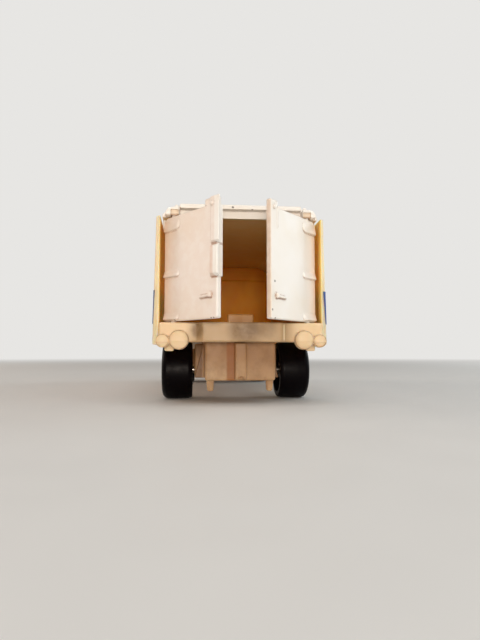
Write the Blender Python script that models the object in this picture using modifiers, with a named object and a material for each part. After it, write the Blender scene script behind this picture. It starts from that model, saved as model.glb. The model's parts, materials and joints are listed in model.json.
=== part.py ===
"""Die-cast toy box truck with two opening rear doors and two turning wheelsets.

All sizes are in metres. +X is the truck's right side, +Y points towards the cab, +Z is up, and the
wheels stand on Z = 0. While the pieces are made, Y = 0 is the rear edge of the side boards. The last
step slides the whole truck along Y, so that the middle of its bounding box is over the origin.
"""

import math

import bmesh
import bpy
from mathutils import Matrix, Vector

MM = 0.001

# Gaps: between fixed neighbours, round pins and axles, behind the door tails, and round the doors
FIT = 0.1 * MM
RUN = 0.15 * MM
TAIL_GAP = 0.2 * MM
SWING = 0.3 * MM
# How far a joined shape is sunk into the one that carries it
SINK = 0.3 * MM

# Side boards: thickest at the foot, with a long rounded rear edge
BODY_WIDTH = 46.0 * MM
BOARD_FOOT = 1.9 * MM
BOARD_LEAN = 0.7 * MM
BOARD_BOTTOM = 15.8 * MM
BOARD_TOP = 49.2 * MM
BOARD_NOSE = 2.6 * MM
BOARD_SEAMS = 4
SEAM_RADIUS = 0.3 * MM
BAND_LOW = 21.2 * MM
BAND_HIGH = 29.8 * MM
BAND_THICKNESS = 0.12 * MM
BOX_LENGTH = 90.0 * MM

# Roof casting: flat top, sloping shoulders, short skirts inside the boards, a lug over each door pivot
ROOF_TOP = 52.6 * MM
ROOF_WALL = 1.3 * MM
SHOULDER_RUN = 4.7 * MM
ROOF_SHOULDER = 2.4 * MM
ROOF_SKIRT = 3.6 * MM
ROOF_EDGE = 0.4 * MM
HEADER_DROP = 2.0 * MM
HEADER_WALL = 1.2 * MM
LUG_NOTCH = 0.25 * MM
LUG_INSET = 0.8 * MM
LUG_HEIGHT = 2.2 * MM
LUG_PROUD = 0.75 * MM
LUG_EDGE = 0.3 * MM
POCKET_HALF = 1.0 * MM
POCKET_HEIGHT = 1.4 * MM
POCKET_DEPTH = 0.45 * MM
PIP_RADIUS = 0.6 * MM

# Floor and bulkhead
FLOOR_TOP = 21.0 * MM
FLOOR_WALL = 1.8 * MM
BULKHEAD_WALL = 1.6 * MM
BULKHEAD_STEP = 1.2 * MM
BULKHEAD_EDGE = 0.3 * MM
LEDGE_HEIGHT = 24.3 * MM

# Rear doors
DOOR_WALL = 1.5 * MM
DOOR_EDGE = 0.35 * MM
DOOR_GAP = 0.3 * MM
DOOR_CHAMFER = 0.8 * MM
CHAMFER_RISE = 4.0 * MM
LEFT_OPEN = 50.0
RIGHT_OPEN = 46.0
HINGE_INSET = 3.7 * MM
PIN_RADIUS = 0.7 * MM
PIN_LENGTH = 1.4 * MM
STRAP_LENGTH = 6.4 * MM
STRAP_HEIGHT = 2.0 * MM
TOP_STRAP_HEIGHT = 3.2 * MM
STRAP_PROUD = 0.55 * MM
STRAP_EDGE = 0.25 * MM
STRAP_HEIGHTS = (0.045, 0.45, 0.915)
TONGUE_LEFT = 3.9 * MM
TONGUE_RIGHT = 2.7 * MM
TONGUE_RISE = 1.7 * MM
STRIP_WIDTH = 2.0 * MM
STRIP_PROUD = 0.7 * MM
STRIP_LAP = 0.9 * MM
LATCH_PROUD = 1.15 * MM
LATCH_LOW = 0.36
LATCH_HIGH = 0.645
LIP_WIDTH = 1.2 * MM
LIP_PROUD = 0.45 * MM
LIP_EDGE = 0.15 * MM
BAR_LENGTH = 5.2 * MM
BOLT_RADIUS = 0.6 * MM
HANDLE_WIDTH = 4.4 * MM
HANDLE_INSET = 1.7 * MM
HANDLE_HEIGHT = 0.2
HANDLE_RADIUS = 0.34 * MM
HANDLE_STAND = 0.75 * MM
HANDLE_TILT = 0.3 * MM
FOOT_RADIUS = 0.5 * MM
KEEPER_WIDTH = 0.9 * MM
KEEPER_HEIGHT = 1.25 * MM
KEEPER_EDGE = 0.15 * MM

# Rear bumper with its lamps and door stop
SILL_TOP = 21.4 * MM
SILL_DEPTH = 3.0 * MM
BUMPER_HEIGHT = 5.0 * MM
BUMPER_FACE = 1.3 * MM
BUMPER_STEP = 1.7 * MM
BUMPER_MIDDLE = 21.4 * MM
BUMPER_SLANT = 1.4 * MM
BUMPER_EDGE = 0.35 * MM
LAMP_X = 16.0 * MM
LAMP_RADIUS = 2.5 * MM
SMALL_LAMP_X = 20.1 * MM
SMALL_LAMP_RADIUS = 1.75 * MM
SMALL_LAMP_DROP = 0.2 * MM
LAMP_DEPTH = 1.9 * MM
STOP_WIDTH = 6.9 * MM
STOP_HEIGHT = 2.4 * MM
HOOK_WIDTH = 2.4 * MM
HOOK_DROP = 2.3 * MM

# Chassis moulding
CHASSIS_WIDTH = 18.6 * MM
CHASSIS_BOTTOM = 6.3 * MM
CHASSIS_WALL = 1.2 * MM
CHASSIS_EDGE = 0.4 * MM
CHASSIS_LEAD = 2.4 * MM
RIB_WIDTH = 3.0 * MM
RIB_PROUD = 1.7 * MM
AXLE_BLOCK_WIDTH = 24.4 * MM
AXLE_BLOCK_LENGTH = 8.0 * MM
PEG_RADIUS = 0.95 * MM
PEG_LENGTH = 2.8 * MM
PEG_X = 7.9 * MM
TANK_RADIUS = 3.4 * MM
TANK_LENGTH = 17.0 * MM
TANK_LEAD = 6.0 * MM
POST_RADIUS = 2.0 * MM
POST_SETBACK = 14.0 * MM
RIVET_RADIUS = 1.1 * MM
RIVET_HEAD = 2.1 * MM
RIVET_SINK = 0.7 * MM

# Wheels and axles
WHEEL_DIAMETER = 17.0 * MM
WHEEL_WIDTH = 8.8 * MM
WHEEL_DRAFT = 0.3 * MM
CAP_EDGE = 0.25 * MM
TRACK_WIDTH = 43.2 * MM
REAR_AXLE = 23.0 * MM
FRONT_OVERHANG = 13.0 * MM
AXLE_RADIUS = 1.0 * MM
ARCH_GAP = 1.3 * MM

# Cab
CAB_WIDTH = 42.6 * MM
CAB_LENGTH = 25.5 * MM
CAB_GAP = 1.5 * MM
CAB_BOTTOM = 13.0 * MM
CAB_TOP = 46.5 * MM
CAB_WALL = 1.4 * MM
CAB_EDGE = 1.1 * MM
CAB_LEAN = 1.5 * MM
BELT_LINE = 31.0 * MM
SCREEN_RAKE = 4.6 * MM
GLASS_WALL = 0.8 * MM
GLASS_LAP = 0.6 * MM
WINDOW_SILL = 1.8 * MM
WINDOW_HEAD = 3.2 * MM
WINDOW_CORNER = 1.3 * MM
SCREEN_PILLAR = 3.6 * MM
REAR_PILLAR = 6.4 * MM
FRONT_PILLAR = 4.2 * MM
DOOR_SEAM_REAR = 3.4 * MM
DOOR_SEAM_FRONT = 2.0 * MM
PULL_INSET = 5.4 * MM
PULL_LENGTH = 3.6 * MM
PULL_EDGE = 0.2 * MM
GRILLE_WIDTH = 24.0 * MM
GRILLE_HEIGHT = 9.5 * MM
GRILLE_SLOTS = 4
GRILLE_RISE = 3.2 * MM
GRILLE_BORDER = 1.6 * MM
GRILLE_CORNER = 1.0 * MM
SEAT_INSET = 2.6 * MM
SEAT_DEPTH = 6.4 * MM
SEAT_HEIGHT = 4.6 * MM
SEAT_BACK = 2.0 * MM
SEAT_BACK_RISE = 4.0 * MM
SEAT_EDGE = 0.7 * MM
FASCIA_DEPTH = 5.0 * MM
STEERING_RADIUS = 2.9 * MM
STEERING_RIM = 0.45 * MM
STEERING_DROP = 1.2 * MM
STEERING_TILT = 35.0
COLUMN_RADIUS = 0.5 * MM
COLUMN_LENGTH = 2.4 * MM
SPOKE_RADIUS = 0.3 * MM
FRONT_BUMPER_WIDTH = 44.4 * MM

# Positions worked out from the sizes above
BOARD_IN = BODY_WIDTH / 2 - BOARD_FOOT
ROOF_HALF = BOARD_IN - 4 * FIT
ROOF_FLAT = 2 * (ROOF_HALF - SHOULDER_RUN)
SKIRT_BOTTOM = ROOF_TOP - ROOF_SHOULDER - ROOF_SKIRT
HEADER_BOTTOM = ROOF_TOP - ROOF_WALL - HEADER_DROP
DOOR_TOP = HEADER_BOTTOM - SWING
DOOR_BOTTOM = SILL_TOP + SWING
DOOR_HEIGHT = DOOR_TOP - DOOR_BOTTOM
HINGE_X = BOARD_IN - HINGE_INSET
HINGE_Y = DOOR_WALL / 2
HEADER_FACE = DOOR_WALL + SWING
DOOR_REACH = HINGE_INSET - TAIL_GAP
DOOR_TAIL = math.sqrt(DOOR_REACH**2 - (DOOR_WALL / 2) ** 2)
STRAP_TAIL = math.sqrt(DOOR_REACH**2 - (DOOR_WALL / 2 + STRAP_PROUD) ** 2)
DOOR_FREE = HINGE_X - DOOR_GAP / 2
DOOR_BAY = HINGE_Y + DOOR_REACH + SWING
FLOOR_BOTTOM = FLOOR_TOP - FLOOR_WALL
CHASSIS_TOP = FLOOR_BOTTOM - FIT
CHASSIS_REAR = SILL_DEPTH + FIT
BASE_TOP = CHASSIS_BOTTOM + CHASSIS_WALL
BUMPER_BOTTOM = SILL_TOP - BUMPER_HEIGHT
AXLE_Z = WHEEL_DIAMETER / 2
CAB_REAR = BOX_LENGTH + CAB_GAP
CAB_FRONT = CAB_REAR + CAB_LENGTH
FRONT_AXLE = CAB_FRONT - FRONT_OVERHANG
CHASSIS_FRONT = CAB_FRONT - CAB_WALL - CHASSIS_LEAD
CAB_POST = CAB_REAR + CAB_WALL + POST_RADIUS - SINK
FLOOR_POST = (REAR_AXLE + FRONT_AXLE) / 2 - POST_SETBACK
GLASS_BOTTOM = BELT_LINE - GLASS_LAP
ARCH_RADIUS = WHEEL_DIAMETER / 2 + ARCH_GAP

for old in list(bpy.data.objects):
    bpy.data.objects.remove(old)

TRUCK = bpy.data.collections.new("toy_truck")
TOOLS = bpy.data.collections.new("cutters")
bpy.context.scene.collection.children.link(TRUCK)
bpy.context.scene.collection.children.link(TOOLS)


def linear(channel):
    """Turn one 0-255 screen colour channel into a linear value."""
    value = channel / 255
    return value / 12.92 if value <= 0.04045 else ((value + 0.055) / 1.055) ** 2.4


def paint(name, screen, roughness, metallic=0.0):
    material = bpy.data.materials.new(name)
    material.use_nodes = True
    shader = material.node_tree.nodes["Principled BSDF"]
    shader.inputs["Base Color"].default_value = (*[linear(c) for c in screen], 1.0)
    shader.inputs["Roughness"].default_value = roughness
    shader.inputs["Metallic"].default_value = metallic
    return material


CREAM = ((236, 214, 170), 0.42, 0.0)
WHITE = ((238, 232, 222), 0.34, 0.0)
AMBER = ((196, 146, 62), 0.45, 0.0)
BLACK = ((16, 13, 15), 0.22, 0.0)
STEEL = ((170, 170, 168), 0.3, 1.0)
PLATED = ((198, 198, 196), 0.18, 1.0)
CLEAR = ((214, 205, 180), 0.08, 0.0)
BLUE = ((28, 62, 130), 0.4, 0.0)


def shape(name, mesh):
    """Put a mesh in the scene as a hidden cutter or joined shape."""
    item = bpy.data.objects.new(name, mesh)
    item.hide_render = True
    item.display_type = "WIRE"
    TOOLS.objects.link(item)
    return item


def part(item, name, look, carrier=None):
    """Turn a shape into a named piece of the truck with its own material."""
    item.name = name
    item.data.name = name
    item.hide_render = False
    item.display_type = "TEXTURED"
    TOOLS.objects.unlink(item)
    TRUCK.objects.link(item)
    item.data.materials.clear()
    item.data.materials.append(paint(name, *look))
    if carrier is not None:
        item.parent = carrier
    return item


def pivot(name, place, turn=0.0):
    """An empty on a joint's axis, turned about Z."""
    empty = bpy.data.objects.new(name, None)
    empty.location = place
    empty.rotation_euler = (0.0, 0.0, turn)
    empty.empty_display_size = 5 * MM
    TRUCK.objects.link(empty)
    return empty


def round_edges(item, width, segments=2, angle=30.0):
    bevel = item.modifiers.new("rounded_edges", "BEVEL")
    bevel.width = width
    bevel.segments = segments
    bevel.limit_method = "ANGLE"
    bevel.angle_limit = math.radians(angle)
    return item


def bundle(items):
    """Several shapes that stand clear of each other, as one shape."""
    if len(items) == 1:
        return items[0]
    name = items[0].name
    form = bmesh.new()
    for item in items:
        form.from_mesh(mesh_of(item))
    mesh = bpy.data.meshes.new(name)
    form.to_mesh(mesh)
    form.free()
    return shape(name, mesh)


def combine(target, items, operation):
    tool = bundle(items)
    tool.parent = target.parent
    step = target.modifiers.new(tool.name, "BOOLEAN")
    step.operation = operation
    step.solver = "EXACT"
    step.object = tool


def join(target, *items):
    combine(target, items, "UNION")


def cut(target, *items):
    combine(target, items, "DIFFERENCE")


def mesh_of(item):
    """The evaluated mesh of an item, which is then removed from the scene."""
    bpy.context.view_layer.update()
    graph = bpy.context.evaluated_depsgraph_get()
    mesh = bpy.data.meshes.new_from_object(item.evaluated_get(graph))
    bpy.data.objects.remove(item)
    return mesh


def block(name, low, high, edge=0.0):
    """A box between any two opposite corners."""
    low, high = (Vector(pick(pair) for pair in zip(low, high)) for pick in (min, max))
    size = high - low
    form = bmesh.new()
    place = Matrix.Translation((low + high) / 2) @ Matrix.Diagonal((*size, 1.0))
    bmesh.ops.create_cube(form, size=1.0, matrix=place)
    mesh = bpy.data.meshes.new(name)
    form.to_mesh(mesh)
    form.free()
    item = shape(name, mesh)
    return round_edges(item, edge) if edge else item


def facing(way):
    """A turn that points +Z along a direction."""
    return way.to_track_quat("Z", "Y").to_matrix().to_4x4()


def rod(name, start, end, radius, end_radius=None, sides=12):
    """A cylinder or a cone between two points."""
    start, end = Vector(start), Vector(end)
    along = end - start
    form = bmesh.new()
    bmesh.ops.create_cone(
        form,
        cap_ends=True,
        segments=sides,
        radius1=radius,
        radius2=radius if end_radius is None else end_radius,
        depth=along.length,
        matrix=Matrix.Translation((start + end) / 2) @ facing(along),
    )
    mesh = bpy.data.meshes.new(name)
    form.to_mesh(mesh)
    form.free()
    mesh.shade_smooth()
    mesh.set_sharp_from_angle(angle=math.radians(40))
    return shape(name, mesh)


def ball(name, centre, radius, squash=(1.0, 1.0, 1.0)):
    form = bmesh.new()
    place = Matrix.Translation(centre) @ Matrix.Diagonal((*squash, 1.0))
    bmesh.ops.create_uvsphere(form, u_segments=8, v_segments=5, radius=radius, matrix=place)
    mesh = bpy.data.meshes.new(name)
    form.to_mesh(mesh)
    form.free()
    mesh.shade_smooth()
    return shape(name, mesh)


def weld(mesh, nearest, cap=None):
    """Close the seams of an evaluated curve or Screw, and make each flat end, at a cap height, one face."""
    form = bmesh.new()
    form.from_mesh(mesh)
    bmesh.ops.remove_doubles(form, verts=form.verts, dist=nearest)
    if cap is not None:
        for end in (-cap, cap):
            flat = [f for f in form.faces if all(abs(v.co.z - end) < nearest for v in f.verts)]
            bmesh.ops.dissolve_faces(form, faces=flat)
    bmesh.ops.recalc_face_normals(form, faces=form.faces)
    form.to_mesh(mesh)
    form.free()


TURNS = {
    "X": Matrix(((0, 0, 1, 0), (1, 0, 0, 0), (0, 1, 0, 0), (0, 0, 0, 1))),
    "Y": Matrix.Rotation(math.radians(90), 4, "X"),
    "Z": Matrix.Identity(4),
}
STATIONS = {"X": Vector((1, 0, 0)), "Y": Vector((0, 1, 0)), "Z": Vector((0, 0, 1))}


def prism(name, outline, low, high, along):
    """Extrude a flat outline along an axis: outlines are (y, z) for X, (x, z) for Y, (x, y) for Z."""
    curve = bpy.data.curves.new(name, "CURVE")
    curve.dimensions = "2D"
    curve.fill_mode = "BOTH"
    curve.extrude = (high - low) / 2 / MM
    spline = curve.splines.new("POLY")
    spline.points.add(len(outline) - 1)
    for point, (a, b) in zip(spline.points, outline):
        point.co = (a / MM, b / MM, 0.0, 1.0)
    spline.use_cyclic_u = True
    guide = bpy.data.objects.new(name + "_outline", curve)
    TOOLS.objects.link(guide)
    mesh = mesh_of(guide)
    weld(mesh, 0.002, cap=curve.extrude)
    middle = STATIONS[along] * (low + high) / 2
    mesh.transform(Matrix.Translation(middle) @ TURNS[along] @ Matrix.Scale(MM, 4))
    return shape(name, mesh)


def arc(centre, radius, start, end, steps):
    """Points along an arc, with angles in degrees; radius may be a pair for an ellipse."""
    across, up = radius if isinstance(radius, tuple) else (radius, radius)
    points = []
    for step in range(steps + 1):
        angle = math.radians(start + (end - start) * step / steps)
        points.append((centre[0] + across * math.cos(angle), centre[1] + up * math.sin(angle)))
    return points


def rounded(corners, radius, steps=3):
    """An outline whose corners are rounded."""
    points = []
    count = len(corners)
    for index in range(count):
        here = Vector(corners[index])
        before = (Vector(corners[index - 1]) - here).normalized()
        after = (Vector(corners[(index + 1) % count]) - here).normalized()
        half = before.angle(after) / 2
        reach = radius / math.tan(half)
        centre = here + (before + after).normalized() * radius / math.sin(half)
        first = here + before * reach - centre
        last = here + after * reach - centre
        for step in range(steps + 1):
            way = first.slerp(last, step / steps).normalized() * radius
            points.append(tuple(centre + way))
    return points


def turned(name, profile, along, place, steps, closed=True):
    """Turn a profile of (radius, station) points about an axis."""
    form = bmesh.new()
    points = [form.verts.new((radius, 0.0, station)) for radius, station in profile]
    for first, second in zip(points, points[1:]):
        form.edges.new((first, second))
    if closed:
        form.edges.new((points[-1], points[0]))
    mesh = bpy.data.meshes.new(name)
    form.to_mesh(mesh)
    form.free()
    guide = shape(name + "_profile", mesh)
    screw = guide.modifiers.new("turn", "SCREW")
    screw.axis = "Z"
    screw.angle = math.radians(360)
    screw.steps = steps
    screw.render_steps = steps
    screw.use_merge_vertices = True
    screw.merge_threshold = 0.001 * MM
    solid = mesh_of(guide)
    weld(solid, 0.002 * MM)
    solid.transform(Matrix.Translation(place) @ TURNS[along])
    solid.shade_smooth()
    solid.set_sharp_from_angle(angle=math.radians(35))
    return shape(name, solid)


def settled(item):
    """Make an item's modifiers final, so that copies can share its mesh."""
    name = item.name
    return shape(name, mesh_of(item))


# Side boards

def board_scale(height):
    """How much of its foot thickness a side board still has at a height."""
    return 1 - BOARD_LEAN / BOARD_FOOT * (height - BOARD_BOTTOM) / (BOARD_TOP - BOARD_BOTTOM)


def lean_in(item):
    """Thin a board, or the band on it, towards the top from its outer side only."""
    for vertex in item.data.vertices:
        side = 1 if vertex.co.x > 0 else -1
        proud = abs(vertex.co.x) - BOARD_IN
        vertex.co.x = side * (BOARD_IN + proud * board_scale(vertex.co.z))


NOSE_X = BOARD_IN + 0.3 * BOARD_FOOT


def nose(gap, first, last, steps):
    """The rounded rear edge of a right-hand board, seen from above and stood off by a gap."""
    reach = (BODY_WIDTH / 2 - NOSE_X + gap, BOARD_NOSE + gap)
    return arc((NOSE_X, BOARD_NOSE), reach, first, last, steps)


def side_board(name, side):
    outline = nose(0.0, -90, 0, 6)
    outline += [(BODY_WIDTH / 2, BOX_LENGTH), (BOARD_IN, BOX_LENGTH), (BOARD_IN, 0.0)]
    board = prism(name, [(side * x, y) for x, y in outline], BOARD_BOTTOM, BOARD_TOP, "Z")
    lean_in(board)
    part(board, name, CREAM)
    low, high = side * (BOARD_IN - BOARD_FOOT), side * BODY_WIDTH
    cuts = [rod(name + "_arch", (low, REAR_AXLE, AXLE_Z), (high, REAR_AXLE, AXLE_Z), ARCH_RADIUS, sides=24)]
    for seam in range(BOARD_SEAMS):
        y = BOX_LENGTH * (seam + 1) / (BOARD_SEAMS + 1)
        ends = []
        for z in (BAND_HIGH + 2 * SEAM_RADIUS, BOARD_TOP + SEAM_RADIUS):
            ends.append((side * (BOARD_IN + BOARD_FOOT * board_scale(z)), y, z))
        cuts.append(rod(name + "_seam", *ends, SEAM_RADIUS, sides=6))
    cut(board, *cuts)
    return board


def loft(name, below, above, low, high):
    """A solid between two outlines of (x, y) points, one at each height."""
    form = bmesh.new()
    rings = []
    for outline, z in ((below, low), (above, high)):
        rings.append([form.verts.new((x, y, z)) for x, y in outline])
        form.faces.new(rings[-1])
    count = len(below)
    for index in range(count):
        after = (index + 1) % count
        form.faces.new((rings[0][index], rings[0][after], rings[1][after], rings[1][index]))
    bmesh.ops.recalc_face_normals(form, faces=form.faces)
    mesh = bpy.data.meshes.new(name)
    form.to_mesh(mesh)
    form.free()
    return shape(name, mesh)


def band_outline(side, wrap):
    outline = []
    for gap in (0.4 * FIT, 0.4 * FIT + BAND_THICKNESS):
        line = nose(gap, wrap, 0, 8) + [(BODY_WIDTH / 2 + gap, BOX_LENGTH - BOARD_NOSE)]
        outline += line if not outline else line[::-1]
    return [(side * x, y) for x, y in outline]


def side_band(name, side, low_wrap, high_wrap):
    """A thin blue band that wraps round the board's rear edge, further at its top than at its foot."""
    below, above = band_outline(side, low_wrap), band_outline(side, high_wrap)
    band = loft(name, below, above, BAND_LOW, BAND_HIGH)
    lean_in(band)
    return part(band, name, BLUE)


side_board("side_board_left", -1)
side_board("side_board_right", 1)
side_band("side_band_left", -1, -15, -46)
side_band("side_band_right", 1, -55, -85)


# Roof casting

def roof_outline(inset, bottom):
    half = ROOF_HALF - inset
    flat = ROOF_FLAT / 2 - inset / 2
    top = ROOF_TOP - inset
    brow = ROOF_TOP - ROOF_SHOULDER - inset
    return [(-half, bottom), (half, bottom), (half, brow), (flat, top), (-flat, top), (-half, brow)]


def lug_outline():
    """The rounded lug over the right door's pivot, seen from behind."""
    near, far = ROOF_FLAT / 2 + LUG_NOTCH, ROOF_HALF - LUG_INSET
    foot, top = HEADER_BOTTOM, HEADER_BOTTOM + LUG_HEIGHT
    bend = LUG_HEIGHT / 3
    return [
        (near, foot),
        (far, foot),
        (far, foot + bend),
        (far - bend, top - bend / 2),
        (near + 2 * bend, top),
        (near, top),
    ]


def hinge_places():
    return ((-1, -HINGE_X), (1, HINGE_X))


roof = prism("box_roof", roof_outline(0.0, SKIRT_BOTTOM), 0.0, BOX_LENGTH, "Y")
round_edges(roof, ROOF_EDGE, angle=20)
part(roof, "box_roof", WHITE)
hollow = roof_outline(ROOF_WALL, SKIRT_BOTTOM - BOARD_FOOT)
cut(roof, prism("roof_hollow", hollow, HEADER_FACE + HEADER_WALL, BOX_LENGTH - ROOF_WALL, "Y"))
wide = BODY_WIDTH
cut(roof, block("door_bay", (-wide, -wide, 0.0), (wide, DOOR_BAY, HEADER_BOTTOM)))
cut(roof, block("rim_underside", (-wide, -wide, 0.0), (wide, HEADER_FACE, ROOF_TOP - ROOF_WALL)))
corners, lugs, pockets, pips, sockets = [], [], [], [], []
for side, hinge_x in hinge_places():
    corner = (side * ROOF_FLAT / 2, -wide, 0.0)
    corners.append(block("rim_corner", corner, (side * wide, HEADER_FACE, 2 * ROOF_TOP)))
    outline = [(side * x, z) for x, z in lug_outline()]
    lug = prism("pivot_lug", outline, -LUG_PROUD, HEADER_FACE + SINK, "Y")
    lugs.append(round_edges(lug, LUG_EDGE))
    low = (hinge_x - POCKET_HALF, -wide, HEADER_BOTTOM - SINK)
    high = (hinge_x + POCKET_HALF, POCKET_DEPTH - LUG_PROUD, HEADER_BOTTOM + POCKET_HEIGHT)
    pockets.append(block("lug_pocket", low, high))
    pip_x = side * (ROOF_FLAT / 2 + LUG_NOTCH + PIP_RADIUS)
    pip = (pip_x, PIP_RADIUS - LUG_PROUD, HEADER_BOTTOM + LUG_HEIGHT)
    pips.append(ball("lug_pip", pip, PIP_RADIUS))
    below = (hinge_x, HINGE_Y, DOOR_TOP - PIN_LENGTH)
    crown = (hinge_x, HINGE_Y, HEADER_BOTTOM + PIN_LENGTH)
    sockets.append(rod("pivot_socket", below, crown, PIN_RADIUS + RUN))
cut(roof, *corners)
join(roof, *lugs)
cut(roof, *pockets)
join(roof, *pips)
cut(roof, *sockets)


# Floor and bulkhead

floor_half = BOARD_IN - FIT
floor_front = BOX_LENGTH - ROOF_WALL - FIT
floor = block(
    "box_floor",
    (-floor_half, SILL_DEPTH + FIT, FLOOR_BOTTOM),
    (floor_half, floor_front, FLOOR_TOP),
)
part(floor, "box_floor", AMBER)
foot, head = (0, FLOOR_POST, BASE_TOP + FIT), (0, FLOOR_POST, FLOOR_BOTTOM + SINK)
join(floor, rod("floor_post", foot, head, POST_RADIUS))
bore_top = FLOOR_BOTTOM - CHASSIS_WALL
cut(floor, rod("floor_post_bore", (0, FLOOR_POST, 0), (0, FLOOR_POST, bore_top), RIVET_RADIUS + FIT))

bulkhead_rear = floor_front - BULKHEAD_WALL
above = roof_outline(ROOF_WALL + FIT, SKIRT_BOTTOM - FIT)
waist = [
    (-floor_half, FLOOR_TOP + FIT),
    (floor_half, FLOOR_TOP + FIT),
    (floor_half, SKIRT_BOTTOM - FIT),
]
outline = waist + above[1:] + [above[0], (-floor_half, SKIRT_BOTTOM - FIT)]
bulkhead = prism("box_bulkhead", outline, bulkhead_rear, floor_front, "Y")
part(bulkhead, "box_bulkhead", AMBER)
ledge_top = FLOOR_TOP + LEDGE_HEIGHT
ledge = block(
    "bulkhead_ledge",
    (-floor_half + 2 * BULKHEAD_STEP, bulkhead_rear - BULKHEAD_STEP, FLOOR_TOP + FIT),
    (floor_half - 2 * BULKHEAD_STEP, bulkhead_rear + SINK, ledge_top),
    edge=BULKHEAD_EDGE,
)
join(bulkhead, ledge)


# Rear bumper with lamps

def lamp_pairs(bumper, name, face, outward, height):
    """A large and a small round lamp on each side of a bumper, moulded in one with it."""
    for x, radius, drop, depth in (
        (LAMP_X, LAMP_RADIUS, 0.0, LAMP_DEPTH),
        (SMALL_LAMP_X, SMALL_LAMP_RADIUS, SMALL_LAMP_DROP, LAMP_DEPTH - SINK),
    ):
        lamps = []
        for side in (-1, 1):
            start = (side * x, face - outward * (BUMPER_FACE - SWING - drop), height - drop)
            end = (side * x, face + outward * depth, height - drop)
            lamps.append(round_edges(rod(name, start, end, radius, sides=16), 0.25 * radius))
        join(bumper, *lamps)


face = -BUMPER_FACE
front_edge = SILL_DEPTH
middle = BUMPER_MIDDLE / 2
half = [
    (middle - BUMPER_SLANT / 2, face - BUMPER_STEP),
    (middle + BUMPER_SLANT / 2, face),
    (BOARD_IN - FIT, face),
    (BOARD_IN - FIT, front_edge),
]
bumper = prism("rear_bumper", half + [(-x, y) for x, y in half[::-1]], BUMPER_BOTTOM, SILL_TOP, "Z")
round_edges(bumper, BUMPER_EDGE, angle=25)
part(bumper, "rear_bumper", CREAM)
lamp_height = BUMPER_BOTTOM + 0.1 * BUMPER_HEIGHT
lamp_pairs(bumper, "rear_lamp", face, -1, lamp_height)
stop = block(
    "door_stop",
    (-STOP_WIDTH / 2, DOOR_WALL + SWING, SILL_TOP - SINK),
    (STOP_WIDTH / 2, SILL_DEPTH - FIT, SILL_TOP + STOP_HEIGHT),
    edge=BUMPER_EDGE,
)
hooks = []
for side in (-1, 1):
    near, far = side * (BOARD_IN - FIT - 0.5 * HOOK_WIDTH), side * (BOARD_IN - FIT - 1.5 * HOOK_WIDTH)
    low = (near, SILL_DEPTH / 2, BUMPER_BOTTOM - HOOK_DROP)
    high = (far, SILL_DEPTH - FIT, BUMPER_BOTTOM + SINK)
    hooks.append(block("clip_hook", low, high, edge=BUMPER_EDGE))
join(bumper, stop, *hooks)
sockets = []
for side, hinge_x in hinge_places():
    low, high = (hinge_x, HINGE_Y, SILL_TOP - PIN_LENGTH), (hinge_x, HINGE_Y, SILL_TOP + PIN_LENGTH)
    sockets.append(rod("sill_socket", low, high, PIN_RADIUS + RUN))
cut(bumper, *sockets)


# Rear doors

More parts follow.
